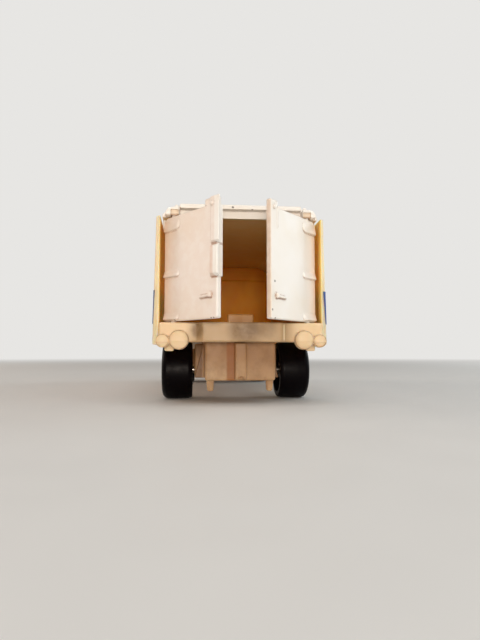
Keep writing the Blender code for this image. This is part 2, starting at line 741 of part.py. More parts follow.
def rear_door(name, side, opening, tongue):
    """A door casting, drawn shut about its hinge axis and then swung open on its pivot."""
    hinge = pivot(name + "_hinge", (side * HINGE_X, HINGE_Y, 0.0), side * math.radians(opening))
    outer = -DOOR_WALL / 2

    tongue_near = DOOR_FREE - tongue
    tongue_top = DOOR_TOP + TONGUE_RISE
    outline = [
        (-DOOR_TAIL, DOOR_BOTTOM),
        (DOOR_FREE, DOOR_BOTTOM),
        (DOOR_FREE, tongue_top),
        (tongue_near, tongue_top),
        (tongue_near, DOOR_TOP),
        (-DOOR_TAIL + DOOR_CHAMFER, DOOR_TOP),
        (-DOOR_TAIL, DOOR_TOP - CHAMFER_RISE),
    ]
    door = prism(name, [(-side * u, v) for u, v in outline], -DOOR_WALL / 2, DOOR_WALL / 2, "Y")
    part(round_edges(door, DOOR_EDGE), name, WHITE, hinge)
    fittings, pins = [], []
    for share in STRAP_HEIGHTS:
        z = DOOR_BOTTOM + share * DOOR_HEIGHT
        radius = (TOP_STRAP_HEIGHT if share > 0.5 else STRAP_HEIGHT) / 2
        tip = STRAP_LENGTH - STRAP_TAIL - radius
        ends = [(-STRAP_TAIL, z - radius)] + arc((tip, z), radius, -90, 90, 6) + [(-STRAP_TAIL, z + radius)]
        strap = prism(
            "strap", [(-side * u, v) for u, v in ends], outer - STRAP_PROUD, outer + SINK, "Y"
        )
        fittings.append(round_edges(strap, STRAP_EDGE, segments=1))
    # A lever handle: a foot, a bar that rises towards the free edge, and a keeper at its end
    grip_z = DOOR_BOTTOM + HANDLE_HEIGHT * DOOR_HEIGHT
    grip_far = DOOR_FREE - HANDLE_INSET
    grip_near = grip_far - HANDLE_WIDTH
    foot_x, keeper_x = -side * (grip_near + FOOT_RADIUS), -side * (grip_far - KEEPER_WIDTH / 2)
    foot_z, keeper_z = grip_z - HANDLE_TILT / 2, grip_z + HANDLE_TILT / 2
    base, crown = (foot_x, outer + SINK, foot_z), (foot_x, outer - 0.7 * HANDLE_STAND, foot_z)
    fittings.append(rod("handle_foot", base, crown, FOOT_RADIUS, 0.8 * FOOT_RADIUS, sides=10))
    low = (keeper_x - KEEPER_WIDTH / 2, outer + SINK, keeper_z - KEEPER_HEIGHT / 2)
    high = (keeper_x + KEEPER_WIDTH / 2, outer - HANDLE_STAND, keeper_z + KEEPER_HEIGHT / 2)
    fittings.append(block("handle_keeper", low, high, edge=KEEPER_EDGE))
    bar_y = outer - HANDLE_STAND + 1.5 * HANDLE_RADIUS
    bar_ends = ((foot_x, bar_y, foot_z), (keeper_x, bar_y, keeper_z))
    pins.append(rod("handle_bar", *bar_ends, HANDLE_RADIUS, sides=8))
    strip_near = DOOR_FREE - STRIP_WIDTH
    latch_low = DOOR_BOTTOM + LATCH_LOW * DOOR_HEIGHT
    latch_high = DOOR_BOTTOM + LATCH_HIGH * DOOR_HEIGHT
    if side < 0:
        lap = DOOR_FREE + DOOR_GAP + STRIP_LAP
        clear = outer - SWING
        for label, proud, low, high in (
            ("closing_strip", STRIP_PROUD, latch_high + SWING, tongue_top - SINK / 2),
            ("latch_case", LATCH_PROUD, latch_low, latch_high - SWING),
        ):
            section = [
                (strip_near, outer + SINK),
                (strip_near, outer - proud),
                (lap, outer - proud),
                (lap, clear),
                (DOOR_FREE - SINK, clear),
                (DOOR_FREE - SINK, outer + SINK),
            ]
            strip = prism(label, [(-side * u, w) for u, w in section], low, high, "Z")
            fittings.append(round_edges(strip, 0.3 * (proud - SWING)))
        lip_low = (DOOR_FREE - LIP_WIDTH, DOOR_WALL / 2 - SINK, latch_low)
        lip_high = (DOOR_FREE - FIT / 2, DOOR_WALL / 2 + LIP_PROUD, DOOR_TOP - DOOR_EDGE)
        fittings.append(block("edge_lip", lip_low, lip_high, edge=LIP_EDGE))
        bolt_u, bolt_y = (strip_near + DOOR_FREE) / 2, outer - STRIP_PROUD
    else:
        bar_low, bar_high = DOOR_TOP - BAR_LENGTH, DOOR_TOP - SINK
        bar = ((-side * tongue_near, outer, bar_low), (-side * tongue_near, outer, bar_high))
        fittings.append(rod("locking_bar", *bar, STRIP_PROUD * 0.6, sides=10))
        bolt_u, bolt_y = DOOR_FREE - 0.5 * tongue, outer
    for label, low, high in (
        ("pin_head", DOOR_TOP - PIN_LENGTH, HEADER_BOTTOM + PIN_LENGTH - SWING),
        ("pin_foot", SILL_TOP - PIN_LENGTH + SWING, DOOR_BOTTOM + PIN_LENGTH),
    ):
        pins.append(rod(label, (0.0, 0.0, low), (0.0, 0.0, high), PIN_RADIUS))
    join(door, *fittings)
    join(door, *pins, ball("bolt", (-side * bolt_u, bolt_y, DOOR_TOP - SINK / 2), BOLT_RADIUS))
    return hinge


rear_door("door_left", -1, LEFT_OPEN, TONGUE_LEFT)
rear_door("door_right", 1, RIGHT_OPEN, TONGUE_RIGHT)


# Chassis moulding

chassis_half = CHASSIS_WIDTH / 2
chassis = block(
    "chassis_base",
    (-chassis_half, CHASSIS_REAR, CHASSIS_BOTTOM),
    (chassis_half, CHASSIS_FRONT, CHASSIS_TOP),
    edge=CHASSIS_EDGE,
)
part(chassis, "chassis_base", CREAM)
cells, bearings, gussets, pegs = [], [], [], []
gusset_top = BUMPER_BOTTOM - FIT
for side in (-1, 1):
    cell_near = (side * CHASSIS_WALL / 2, CHASSIS_REAR + CHASSIS_WALL, BASE_TOP)
    cell_far = (side * (chassis_half - CHASSIS_WALL), CHASSIS_FRONT - CHASSIS_WALL, 2 * CHASSIS_TOP)
    cells.append(block("chassis_cell", cell_near, cell_far))
    near, far = side * (chassis_half - SINK), side * AXLE_BLOCK_WIDTH / 2
    for axle in (REAR_AXLE, FRONT_AXLE):
        low = (near, axle - AXLE_BLOCK_LENGTH / 2, CHASSIS_BOTTOM + SINK)
        high = (far, axle + AXLE_BLOCK_LENGTH / 2, gusset_top)
        bearings.append(block("axle_block", low, high, edge=CHASSIS_EDGE))
        wedge = [
            (near, CHASSIS_BOTTOM + SINK / 2),
            (far, CHASSIS_BOTTOM + SINK / 2),
            (near + side * 2 * SINK, gusset_top),
            (near, gusset_top),
        ]
        rear = axle - AXLE_BLOCK_LENGTH / 2 - 3 * CHASSIS_WALL
        gussets.append(prism("gusset", wedge, rear, rear + CHASSIS_WALL, "Y"))
    peg_y = CHASSIS_REAR + 1.6 * PEG_RADIUS
    top = (side * PEG_X, peg_y, CHASSIS_BOTTOM + SINK)
    tip = (side * PEG_X, peg_y, CHASSIS_BOTTOM - PEG_LENGTH)
    peg = rod("peg", top, tip, PEG_RADIUS, 0.75 * PEG_RADIUS, sides=10)
    pegs.append(round_edges(peg, 0.6 * CHASSIS_EDGE, segments=1, angle=50))
cut(chassis, *cells)

# Rear rib, fuel tank and battery box
rib_rear = CHASSIS_REAR - RIB_PROUD
rib = block(
    "rear_rib",
    (-RIB_WIDTH / 2, rib_rear, CHASSIS_BOTTOM + SINK),
    (RIB_WIDTH / 2, CHASSIS_REAR + SINK, gusset_top),
    edge=0.7 * CHASSIS_EDGE,
)
tank_x = chassis_half - SINK + TANK_RADIUS
tank_y = FLOOR_POST + TANK_LEAD
tank_z = CHASSIS_BOTTOM + 1.6 * TANK_RADIUS
tank_rear, tank_front = (-tank_x, tank_y, tank_z), (-tank_x, tank_y + TANK_LENGTH, tank_z)
tank = round_edges(rod("fuel_tank", tank_rear, tank_front, TANK_RADIUS, sides=16), CHASSIS_EDGE, segments=1)
battery = block(
    "battery_box",
    (chassis_half - SINK, tank_y + 0.2 * TANK_LENGTH, tank_z - TANK_RADIUS),
    (chassis_half + 1.9 * TANK_RADIUS, tank_y + 0.9 * TANK_LENGTH, tank_z + TANK_RADIUS),
    edge=CHASSIS_EDGE,
)
join(chassis, rib, tank, battery, *bearings, *gussets, *pegs)

# Axle slots, open at the top, and the rivet holes
bores, slots, rooms, holes, recesses = [], [], [], [], []
reach, slot = AXLE_BLOCK_WIDTH, AXLE_RADIUS + RUN
for axle in (REAR_AXLE, FRONT_AXLE):
    bores.append(rod("axle_bore", (-reach, axle, AXLE_Z), (reach, axle, AXLE_Z), slot, sides=16))
    slots.append(block("axle_slot", (-reach, axle - slot, AXLE_Z), (reach, axle + slot, 2 * CHASSIS_TOP)))
for post_y in (FLOOR_POST, CAB_POST):
    below = (0.0, post_y, 0.0)
    foot, head = (0.0, post_y, BASE_TOP), (0.0, post_y, 2 * CHASSIS_TOP)
    rooms.append(rod("post_room", foot, head, POST_RADIUS + 2 * FIT))
    holes.append(rod("rivet_hole", below, (0, post_y, CHASSIS_TOP), RIVET_RADIUS + FIT))
    recess_top = (0.0, post_y, CHASSIS_BOTTOM + RIVET_SINK)
    recesses.append(rod("rivet_recess", below, recess_top, RIVET_HEAD + FIT, sides=16))
notch_z = CHASSIS_BOTTOM + SINK
notch = ((0.0, rib_rear - RIB_PROUD, notch_z), (0.0, rib_rear + 0.6 * RIB_PROUD, notch_z))
cut(chassis, rod("rib_notch", *notch, 0.3 * RIB_WIDTH, sides=12), *bores, *rooms)
cut(chassis, *slots, *holes)
cut(chassis, *recesses)


def rivet(name, y):
    """A dome-headed rivet driven up into its post."""
    head = CHASSIS_BOTTOM + FIT
    shank_top = FLOOR_BOTTOM - 3 * CHASSIS_WALL
    under = CHASSIS_BOTTOM + RIVET_SINK - FIT
    profile = [
        (0.0, shank_top),
        (0.8 * RIVET_RADIUS, shank_top),
        (RIVET_RADIUS, shank_top - 0.2 * RIVET_RADIUS),
        (RIVET_RADIUS, under),
        (RIVET_HEAD, under),
        (0.9 * RIVET_HEAD, (under + head) / 2),
        (0.5 * RIVET_HEAD, head),
        (0.0, head),
    ]
    part(turned(name, profile, "Z", (0.0, y, 0.0), 12, closed=False), name, STEEL)


rivet("rivet_rear", FLOOR_POST)
rivet("rivet_front", CAB_POST)


# Wheelsets

def wheel_mesh():
    """A one-piece wheel on the X axis: +X is its outer side, and its inner side is hollow."""
    radius = WHEEL_DIAMETER / 2
    inner, outer = -WHEEL_WIDTH / 2, WHEEL_WIDTH / 2
    rim = 0.74 * radius
    web = outer - 0.3 * WHEEL_WIDTH
    bore = AXLE_RADIUS + FIT / 2
    boss = 2.4 * AXLE_RADIUS
    shoulder = 0.2 * WHEEL_WIDTH
    tread = arc((radius - shoulder, outer - shoulder), shoulder, 90, 15, 4)
    profile = [(rim, web), (rim, outer)] + tread
    profile += [(radius, 0.08 * WHEEL_WIDTH), (0.99 * radius, inner + 0.12 * WHEEL_WIDTH)]
    profile += [(0.95 * radius, inner), (rim + WHEEL_DRAFT, inner)]
    profile += [(rim - WHEEL_DRAFT, web - CHASSIS_WALL)]
    profile += [(boss, web - CHASSIS_WALL), (boss, inner + 0.1 * WHEEL_WIDTH)]
    profile += [(bore, inner + 0.1 * WHEEL_WIDTH), (bore, web)]
    return turned("wheel", profile, "X", (0.0, 0.0, 0.0), 24)


def cap_mesh():
    """A hub cap with a domed centre and a ring of round holes."""
    radius = 0.74 * WHEEL_DIAMETER / 2 - FIT
    back = WHEEL_WIDTH / 2 - 0.3 * WHEEL_WIDTH + FIT
    front = WHEEL_WIDTH / 2 - 0.06 * WHEEL_WIDTH
    dish = back + 0.35 * (front - back)
    dome = 0.34 * radius
    profile = [(0.0, front), (0.7 * dome, front - CAP_EDGE / 2), (dome, front - 2 * CAP_EDGE)]
    profile += [(1.15 * dome, dish), (0.82 * radius, dish)]
    profile += [(0.9 * radius, front - CAP_EDGE), (radius, front - 1.2 * CAP_EDGE)]
    profile += [(radius, back), (0.0, back)]
    cap = turned("cap", profile, "X", (0.0, 0.0, 0.0), 18, closed=False)
    holes = []
    for y, z in arc((0.0, 0.0), 0.62 * radius, 0, 300, 5):
        holes.append(rod("cap_hole", (back - FIT, y, z), (front, y, z), 0.13 * radius, sides=8))
    cut(cap, *holes)
    return settled(cap)


wheel_shape = wheel_mesh()
cap_shape = cap_mesh()
for place, axle_y in (("rear", REAR_AXLE), ("front", FRONT_AXLE)):
    wheelset = pivot("wheelset_" + place, (0.0, axle_y, AXLE_Z))
    tip = TRACK_WIDTH / 2 - 0.3 * WHEEL_WIDTH - FIT
    axle = rod("axle_" + place, (-tip, 0.0, 0.0), (tip, 0.0, 0.0), AXLE_RADIUS, sides=14)
    part(axle, "axle_" + place, STEEL, wheelset)
    for hand, side in (("left", -1), ("right", 1)):
        for kind, model, look in (("wheel", wheel_shape, BLACK), ("hub_cap", cap_shape, PLATED)):
            name = f"{kind}_{place}_{hand}"
            item = shape(name, model.data.copy())
            part(item, name, look, wheelset)
            item.location = (side * (TRACK_WIDTH - WHEEL_WIDTH) / 2, 0.0, 0.0)
            item.rotation_euler = (0.0, 0.0, 0.0 if side > 0 else math.pi)
    keeper_half = AXLE_BLOCK_WIDTH / 2 - CHASSIS_WALL
    slot = AXLE_RADIUS + RUN - FIT
    keeper = block(
        "axle_keeper_" + place,
        (-keeper_half, axle_y - slot, AXLE_Z + AXLE_RADIUS + RUN),
        (keeper_half, axle_y + slot, gusset_top - FIT),
    )
    part(keeper, "axle_keeper_" + place, CREAM)
bpy.data.objects.remove(wheel_shape)
bpy.data.objects.remove(cap_shape)


# Cab casting

def cab_side(z):
    """How far out the leaning side of the cab is at a height."""
    return CAB_WIDTH / 2 - CAB_LEAN * (z - CAB_BOTTOM) / (CAB_TOP - CAB_BOTTOM)


def cab_form(name, inset, bottom):
    """The outside of the cab, or the same form drawn in by an inset."""
    rear, front = CAB_REAR + inset, CAB_FRONT - inset
    top = CAB_TOP - inset
    half = CAB_WIDTH / 2 - inset
    outline = [
        (rear, bottom),
        (front, bottom),
        (front, BELT_LINE),
        (front - SCREEN_RAKE, top),
        (rear, top),
    ]
    form = prism(name, outline, -half, half, "X")
    for vertex in form.data.vertices:
        vertex.co.x -= math.copysign(CAB_WIDTH / 2 - cab_side(vertex.co.z), vertex.co.x)
    return form


cab = cab_form("cab_shell", 0.0, CAB_BOTTOM - 3 * CAB_EDGE)
round_edges(cab, CAB_EDGE, segments=3, angle=12)
part(cab, "cab_shell", WHITE)
cut(cab, block("cab_trim", (-CAB_WIDTH, 0.0, -CAB_TOP), (CAB_WIDTH, 2 * CAB_FRONT, CAB_BOTTOM)))
cut(cab, cab_form("cab_hollow", CAB_WALL, CAB_BOTTOM - CAB_GAP))
window_low, window_high = BELT_LINE + WINDOW_SILL, CAB_TOP - WINDOW_HEAD
screen_half = CAB_WIDTH / 2 - SCREEN_PILLAR
screen = [
    (-screen_half, window_low),
    (screen_half, window_low),
    (screen_half - 0.8 * CAB_LEAN, window_high),
    (-screen_half + 0.8 * CAB_LEAN, window_high),
]
screen_span = (CAB_FRONT - 2 * SCREEN_RAKE, CAB_FRONT + CAB_GAP)
openings = [prism("windscreen", rounded(screen, WINDOW_CORNER), *screen_span, "Y")]
window = [
    (CAB_REAR + REAR_PILLAR, window_low),
    (CAB_FRONT - FRONT_PILLAR, window_low),
    (CAB_FRONT - FRONT_PILLAR - 0.75 * SCREEN_RAKE, window_high),
    (CAB_REAR + REAR_PILLAR, window_high),
]
grille_low = CAB_BOTTOM + GRILLE_RISE
grille_high = grille_low + GRILLE_HEIGHT
grille_back = CAB_FRONT - CAB_WALL


def grille_outline(inset):
    across, low, high = GRILLE_WIDTH / 2 - inset, grille_low + inset, grille_high - inset
    return rounded([(-across, low), (across, low), (across, high), (-across, high)], GRILLE_CORNER)


grille_hole = (grille_back - CAB_WALL, CAB_FRONT + CAB_WALL)
openings.append(prism("grille_opening", grille_outline(0.0), *grille_hole, "Y"))
passage = chassis_half + 2 * FIT
rear_low = (-passage, CAB_REAR - CAB_GAP, 0.0)
openings.append(block("chassis_passage", rear_low, (passage, CAB_REAR + CAB_WALL + FIT, FLOOR_BOTTOM)))
openings.append(rod("cab_post_bore", (0, CAB_POST, 0), (0, CAB_POST, bore_top), RIVET_RADIUS + FIT))
handles = []
for side in (-1, 1):
    wall_in, wall_out = side * (screen_half + FIT), side * CAB_WIDTH
    across = sorted((wall_in, wall_out))
    openings.append(prism("side_window", rounded(window, WINDOW_CORNER), *across, "X"))
    hub_in, hub_out = (wall_in, FRONT_AXLE, AXLE_Z), (wall_out, FRONT_AXLE, AXLE_Z)
    openings.append(rod("cab_arch", hub_in, hub_out, ARCH_RADIUS, sides=24))
    for seam_y in (CAB_REAR + DOOR_SEAM_REAR, CAB_FRONT - DOOR_SEAM_FRONT):
        ends = [(side * cab_side(z), seam_y, z) for z in (CAB_BOTTOM + 4 * CAB_EDGE, BELT_LINE - CAB_EDGE)]
        openings.append(rod("door_seam", *ends, SEAM_RADIUS, sides=6))
    skin = cab_side(BELT_LINE)
    low = (side * (skin - SINK), CAB_REAR + PULL_INSET, BELT_LINE - 1.5 * STRAP_HEIGHT)
    pull_front = CAB_REAR + PULL_INSET + PULL_LENGTH
    high = (side * (skin + STRAP_PROUD), pull_front, BELT_LINE - STRAP_HEIGHT)
    handles.append(block("door_handle", low, high, edge=PULL_EDGE))
post = rod("cab_post", (0, CAB_POST, BASE_TOP + FIT), (0, CAB_POST, CAB_TOP - CAB_WALL / 2), POST_RADIUS)
join(cab, post, *handles)
cut(cab, *openings)

glass = cab_form("cab_glazing", CAB_WALL + FIT, GLASS_BOTTOM)
part(glass, "cab_glazing", CLEAR)
cut(glass, cab_form("glazing_hollow", CAB_WALL + FIT + GLASS_WALL, CAB_BOTTOM))
glass_rear = CAB_POST + POST_RADIUS + 2 * FIT
cut(glass, block("glazing_rear", (-CAB_WIDTH, CAB_REAR, 0.0), (CAB_WIDTH, glass_rear, 2 * CAB_TOP)))

grille = prism("front_grille", grille_outline(FIT), grille_back + FIT, CAB_FRONT - FIT, "Y")
part(grille, "front_grille", PLATED)
pitch = GRILLE_HEIGHT / GRILLE_SLOTS
reach = GRILLE_WIDTH / 2 - GRILLE_BORDER
slots = []
for row in range(GRILLE_SLOTS):
    z = grille_low + (row + 0.5) * pitch
    low = (-reach, CAB_FRONT - 0.6 * CAB_WALL, z - 0.28 * pitch)
    slots.append(block("grille_slot", low, (reach, CAB_FRONT + CAB_WALL, z + 0.28 * pitch)))
cut(grille, *slots)


# Cab interior and steering wheel

room_half = cab_side(BELT_LINE) - CAB_WALL - 2 * FIT
room_rear = glass_rear + FIT
room_front = grille_back - FIT
interior = block("cab_interior", (-room_half, room_rear, FLOOR_BOTTOM), (room_half, room_front, FLOOR_TOP))
part(interior, "cab_interior", AMBER)
seat_half = room_half - SEAT_INSET
corner = (-seat_half, room_rear, FLOOR_TOP - SINK)
bench_top = (seat_half, room_rear + SEAT_DEPTH, FLOOR_TOP + SEAT_HEIGHT)
join(interior, block("bench", corner, bench_top, edge=SEAT_EDGE))
corner = (-seat_half, room_rear, FLOOR_TOP)
back_top = (seat_half, room_rear + SEAT_BACK, BELT_LINE + SEAT_BACK_RISE)
join(interior, block("bench_back", corner, back_top, edge=SEAT_EDGE))
fascia_rear = room_front - FASCIA_DEPTH
low = (-room_half + FIT, fascia_rear, FLOOR_TOP - SINK)
high = (room_half - FIT, room_front - FIT, GLASS_BOTTOM - FIT)
join(interior, block("fascia", low, high, edge=SEAT_EDGE))

tilt = math.radians(STEERING_TILT)
along = Vector((0.0, math.cos(tilt), -math.sin(tilt)))
wheel_y = fascia_rear - FIT - COLUMN_RADIUS * math.sin(tilt) - COLUMN_LENGTH * math.cos(tilt)
wheel_centre = Vector((-0.45 * room_half, wheel_y, GLASS_BOTTOM - STEERING_DROP))
rim_points = arc((STEERING_RADIUS, 0.0), STEERING_RIM, 180, 540, 6)[:-1]
steering = turned("steering_wheel", rim_points[::-1], "Z", (0, 0, 0), 16)
steering.data.transform(Matrix.Translation(wheel_centre) @ facing(along))
part(steering, "steering_wheel", BLACK)
join(steering, rod("column", wheel_centre, wheel_centre + along * COLUMN_LENGTH, COLUMN_RADIUS, sides=8))
for turn in (0, 120, 240):
    spin = Matrix.Rotation(math.radians(turn), 3, along)
    spoke = wheel_centre + spin @ Vector((0.0, math.sin(tilt), math.cos(tilt))) * STEERING_RADIUS
    join(steering, rod("spoke", wheel_centre + along * SINK, spoke, SPOKE_RADIUS, sides=6))


# Front bumper, moulded like the rear one

bar_rear, bar_face = CAB_FRONT - CAB_WALL, CAB_FRONT + BUMPER_FACE
bar_half = FRONT_BUMPER_WIDTH / 2
bar_top = CAB_BOTTOM - 2 * FIT
bar_bottom = bar_top - BUMPER_HEIGHT
bracket_rear = CHASSIS_FRONT + FIT
half = [
    (chassis_half, bracket_rear),
    (chassis_half, bar_rear),
    (bar_half, bar_rear),
    (bar_half, bar_face - BUMPER_FACE / 2),
    (bar_half - BUMPER_FACE, bar_face),
    (middle + BUMPER_SLANT / 2, bar_face),
    (middle - BUMPER_SLANT / 2, bar_face + BUMPER_STEP),
]
front = prism("front_bumper", half + [(-x, y) for x, y in half[::-1]], bar_bottom, bar_top, "Z")
round_edges(front, BUMPER_EDGE, angle=25)
part(front, "front_bumper", CREAM)
lamp_pairs(front, "head_lamp", bar_face, 1, bar_bottom + 0.36 * BUMPER_HEIGHT)


# Centre the truck over the origin

bpy.context.view_layer.update()
graph = bpy.context.evaluated_depsgraph_get()
stations = []
for item in TRUCK.objects:
    if item.type == "MESH":
        solid = item.evaluated_get(graph)
        stations += [(solid.matrix_world @ vertex.co).y for vertex in solid.data.vertices]
shift = -(min(stations) + max(stations)) / 2
for item in list(TRUCK.objects) + list(TOOLS.objects):
    if item.parent is None:
        item.location.y += shift
bpy.context.view_layer.update()
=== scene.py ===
"""Looks of the die-cast toy truck: soft castings, turned wheels, aged finishes, light and camera.

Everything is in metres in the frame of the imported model: +X to the truck's right, +Y towards the cab,
+Z up from the floor. Values said to be in mm are turned into metres where they are used. The truck is
seen from behind, with its rear doors half open.
"""

import json
import math
from collections import namedtuple

import bmesh
import bpy
import numpy as np
from mathutils import Matrix, Vector

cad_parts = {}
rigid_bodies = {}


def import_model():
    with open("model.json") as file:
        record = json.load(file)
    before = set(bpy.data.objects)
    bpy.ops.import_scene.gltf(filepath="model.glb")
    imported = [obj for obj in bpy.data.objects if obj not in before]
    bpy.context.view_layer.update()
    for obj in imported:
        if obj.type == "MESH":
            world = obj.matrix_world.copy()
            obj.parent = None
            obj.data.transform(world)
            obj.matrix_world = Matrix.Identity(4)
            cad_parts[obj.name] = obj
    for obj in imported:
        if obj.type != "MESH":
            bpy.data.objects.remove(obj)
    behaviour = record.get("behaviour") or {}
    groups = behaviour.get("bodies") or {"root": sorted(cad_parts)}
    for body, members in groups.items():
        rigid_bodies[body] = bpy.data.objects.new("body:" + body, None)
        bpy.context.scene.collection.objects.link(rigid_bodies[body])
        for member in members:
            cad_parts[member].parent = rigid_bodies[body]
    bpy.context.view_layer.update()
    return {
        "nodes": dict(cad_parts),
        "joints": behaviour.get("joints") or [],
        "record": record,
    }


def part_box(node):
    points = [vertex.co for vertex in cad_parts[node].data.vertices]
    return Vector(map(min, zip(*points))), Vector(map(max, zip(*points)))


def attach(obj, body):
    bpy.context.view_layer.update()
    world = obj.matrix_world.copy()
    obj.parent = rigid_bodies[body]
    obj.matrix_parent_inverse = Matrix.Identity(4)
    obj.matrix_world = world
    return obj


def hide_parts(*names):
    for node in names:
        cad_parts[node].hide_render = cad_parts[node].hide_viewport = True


for old in list(bpy.data.objects):
    bpy.data.objects.remove(old)
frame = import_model()

MM = 0.001
NODES = frame["nodes"]
JOINTS = {joint["name"]: joint for joint in frame["joints"]}
SLOTS = {row["node"]: row["material_slot"] for row in frame["record"]["subparts"]}
BODIES = {}
for body, members in frame["record"]["behaviour"]["bodies"].items():
    for member in members:
        BODIES[member] = body

# Camera: solved from points of the body in the photograph
CAMERA_PLACE = (-11.1 * MM, -175.45 * MM, 14.0 * MM)
CAMERA_YAW = 5.0
CAMERA_PITCH = 3.78
FOCAL_PIXELS = 476.0
IMAGE_HEIGHT = 640
SENSOR = 36.0

# The doors: their sides along X, their hinges, and how far they stand open at rest, in degrees
LEFT, RIGHT = -1, 1
HINGES = {LEFT: "left_door_hinge", RIGHT: "right_door_hinge"}
OPEN = {LEFT: 50.0, RIGHT: 46.0}

# The doors in their closed frame, in mm: u runs from the hinge to the free edge, w from the middle of the
# plate into the box, and z up. The latch and the straps are given by their spans in z.
DOOR_OUTER = -0.75
DOOR_FREE = 17.25
DOOR_BOTTOM = 21.7
CORNER_BEND = 0.8
STRIP_NEAR = 15.25
STRIP_FOOT = 39.61
STRIP_TOP = 50.8
LATCH = (31.53, 39.01)
STRAPS = ((21.93, 23.93), (32.99, 34.99), (45.08, 48.28))
STRAP_TIP = 3.15
LOCK_BAR_U = (13.9, 15.2)
LOCK_BAR_Z = (43.5, 49.1)
TONGUE_FOOT = 48.8
TONGUE_ZONE = 11.0
UNDER_HANDLE = (11.2, 15.6, 26.5, 26.85)
OUTER_FACE = (-6.0, 17.0, 20.0, 53.0)

# Borders that lie well past the doors' own edges
PAST_HINGE, PAST_EDGE, PAST_TOP = -9.0, 30.0, 60.0


def hinge_place(side):
    return JOINTS[HINGES[side]]["pos_m"]


def hinge_turn(side):
    """The turn from a closed door to the open one at rest, about its hinge."""
    place = Matrix.Translation(hinge_place(side))
    return place @ Matrix.Rotation(math.radians(side * OPEN[side]), 4, "Z") @ place.inverted()


# Node materials

class Look:
    """A procedural material: short names for the nodes around one Principled shader."""

    def __init__(self, name):
        self.material = bpy.data.materials.new(name)
        self.material.use_nodes = True
        self.tree = self.material.node_tree
        self.shader = self.tree.nodes["Principled BSDF"]
        self.place = self.add("ShaderNodeTexCoord").outputs["Object"]

    def plug(self, value, socket):
        if isinstance(value, bpy.types.NodeSocket):
            self.tree.links.new(value, socket)
        else:
            socket.default_value = value

    def add(self, kind, inputs=None, **settings):
        node = self.tree.nodes.new(kind)
        for key, value in settings.items():
            setattr(node, key, value)
        for key, value in (inputs or {}).items():
            self.plug(value, node.inputs[key])
        return node

    def set(self, **inputs):
        """Set or link inputs of the Principled shader; underscores stand for spaces."""
        for key, value in inputs.items():
            self.plug(value, self.shader.inputs[key.replace("_", " ")])

    def calc(self, operation, first, second=0.5):
        """A sum, product or the like of two numbers, kept between 0 and 1."""
        node = self.add("ShaderNodeMath", {0: first, 1: second}, operation=operation, use_clamp=True)
        return node.outputs[0]

    def times(self, first, second):
        return self.calc("MULTIPLY", first, second)

    def vector(self, operation, first, second, output="Vector"):
        inputs = {0: first, 1: second}
        return self.add("ShaderNodeVectorMath", inputs, operation=operation).outputs[output]

    def ramp(self, value, low, high, start=0.0, end=1.0):
        """Map a value from low..high to start..end, smoothly and clamped."""
        inputs = {"Value": value, "From Min": low, "From Max": high, "To Min": start, "To Max": end}
        return self.add("ShaderNodeMapRange", inputs, interpolation_type="SMOOTHSTEP").outputs[0]

    def noise(self, size, detail=2.0, rough=0.5, stretch=(1.0, 1.0, 1.0)):
        """Noise with features of a size in metres, drawn out by a stretch along each axis."""
        spread = tuple(1.0 / (size * along) for along in stretch)
        scaled = self.vector("MULTIPLY", self.place, spread)
        inputs = {"Vector": scaled, "Scale": 1.0, "Detail": detail, "Roughness": rough}
        return self.add("ShaderNodeTexNoise", inputs).outputs["Fac"]

    def mix(self, share, first, second):
        node = self.add("ShaderNodeMix", data_type="RGBA")
        for value, index in ((share, 0), (first, 6), (second, 7)):
            self.plug(value, node.inputs[index])
        return node.outputs[2]

    def paint(self, tone, colour, area, share):
        """Lay a share of a colour over a tone where an area is 1."""
        return self.mix(self.times(area, share), tone, colour)

    def hollow(self, reach):
        """1 in corners and grooves narrower than a reach, 0 on open faces."""
        node = self.add("ShaderNodeAmbientOcclusion", {"Distance": reach}, samples=8, only_local=True)
        return self.calc("SUBTRACT", 1.0, node.outputs["AO"])

    def edge(self, reach):
        """1 along outer edges, 0 on flat faces."""
        node = self.add(
            "ShaderNodeAmbientOcclusion", {"Distance": reach}, samples=8, inside=True, only_local=True
        )
        return self.calc("SUBTRACT", 1.0, node.outputs["AO"])

    def axis(self, name):
        return self.add("ShaderNodeSeparateXYZ", {0: self.place}).outputs[name]

    def off_middle(self):
        """The distance of a point from the truck's middle plane, in metres."""
        return self.calc("ABSOLUTE", self.axis("X"))

    def along(self, direction, origin):
        """The distance of a point from an origin, measured along a direction, in metres."""
        offset = self.vector("SUBTRACT", self.place, origin)
        return self.vector("DOT_PRODUCT", offset, direction, "Value")

    def above(self, value, border, blur=0.1):
        """1 where a coordinate is more than a border in mm, with a blurred end."""
        return self.ramp(value, (border - blur) * MM, (border + blur) * MM)

    def below(self, value, border, blur=0.1):
        """1 where a coordinate is less than a border in mm, with a blurred end."""
        return self.ramp(value, (border - blur) * MM, (border + blur) * MM, 1.0, 0.0)

    def within(self, value, low, high, blur=0.1):
        """1 where a coordinate lies between two borders in mm, with blurred ends."""
        return self.times(self.above(value, low, blur), self.below(value, high, blur))

    def spot(self, centre, radius, ragged=0.35):
        """1 inside a ragged round spot (centre and radius in mm), fading to 0 at its border."""
        apart = self.vector("DISTANCE", self.place, tuple(c * MM for c in centre), "Value")
        share = self.ramp(apart, 0.45 * radius * MM, radius * MM, 1.0, 0.0)
        grain = self.ramp(self.noise(0.5 * radius * MM, 4.0, 0.6), 0.3, 0.6, 1.0 - ragged, 1.0)
        return self.times(share, grain)

    def bump(self, height, strength, depth):
        inputs = {"Height": height, "Strength": strength, "Distance": depth}
        self.set(Normal=self.add("ShaderNodeBump", inputs).outputs["Normal"])


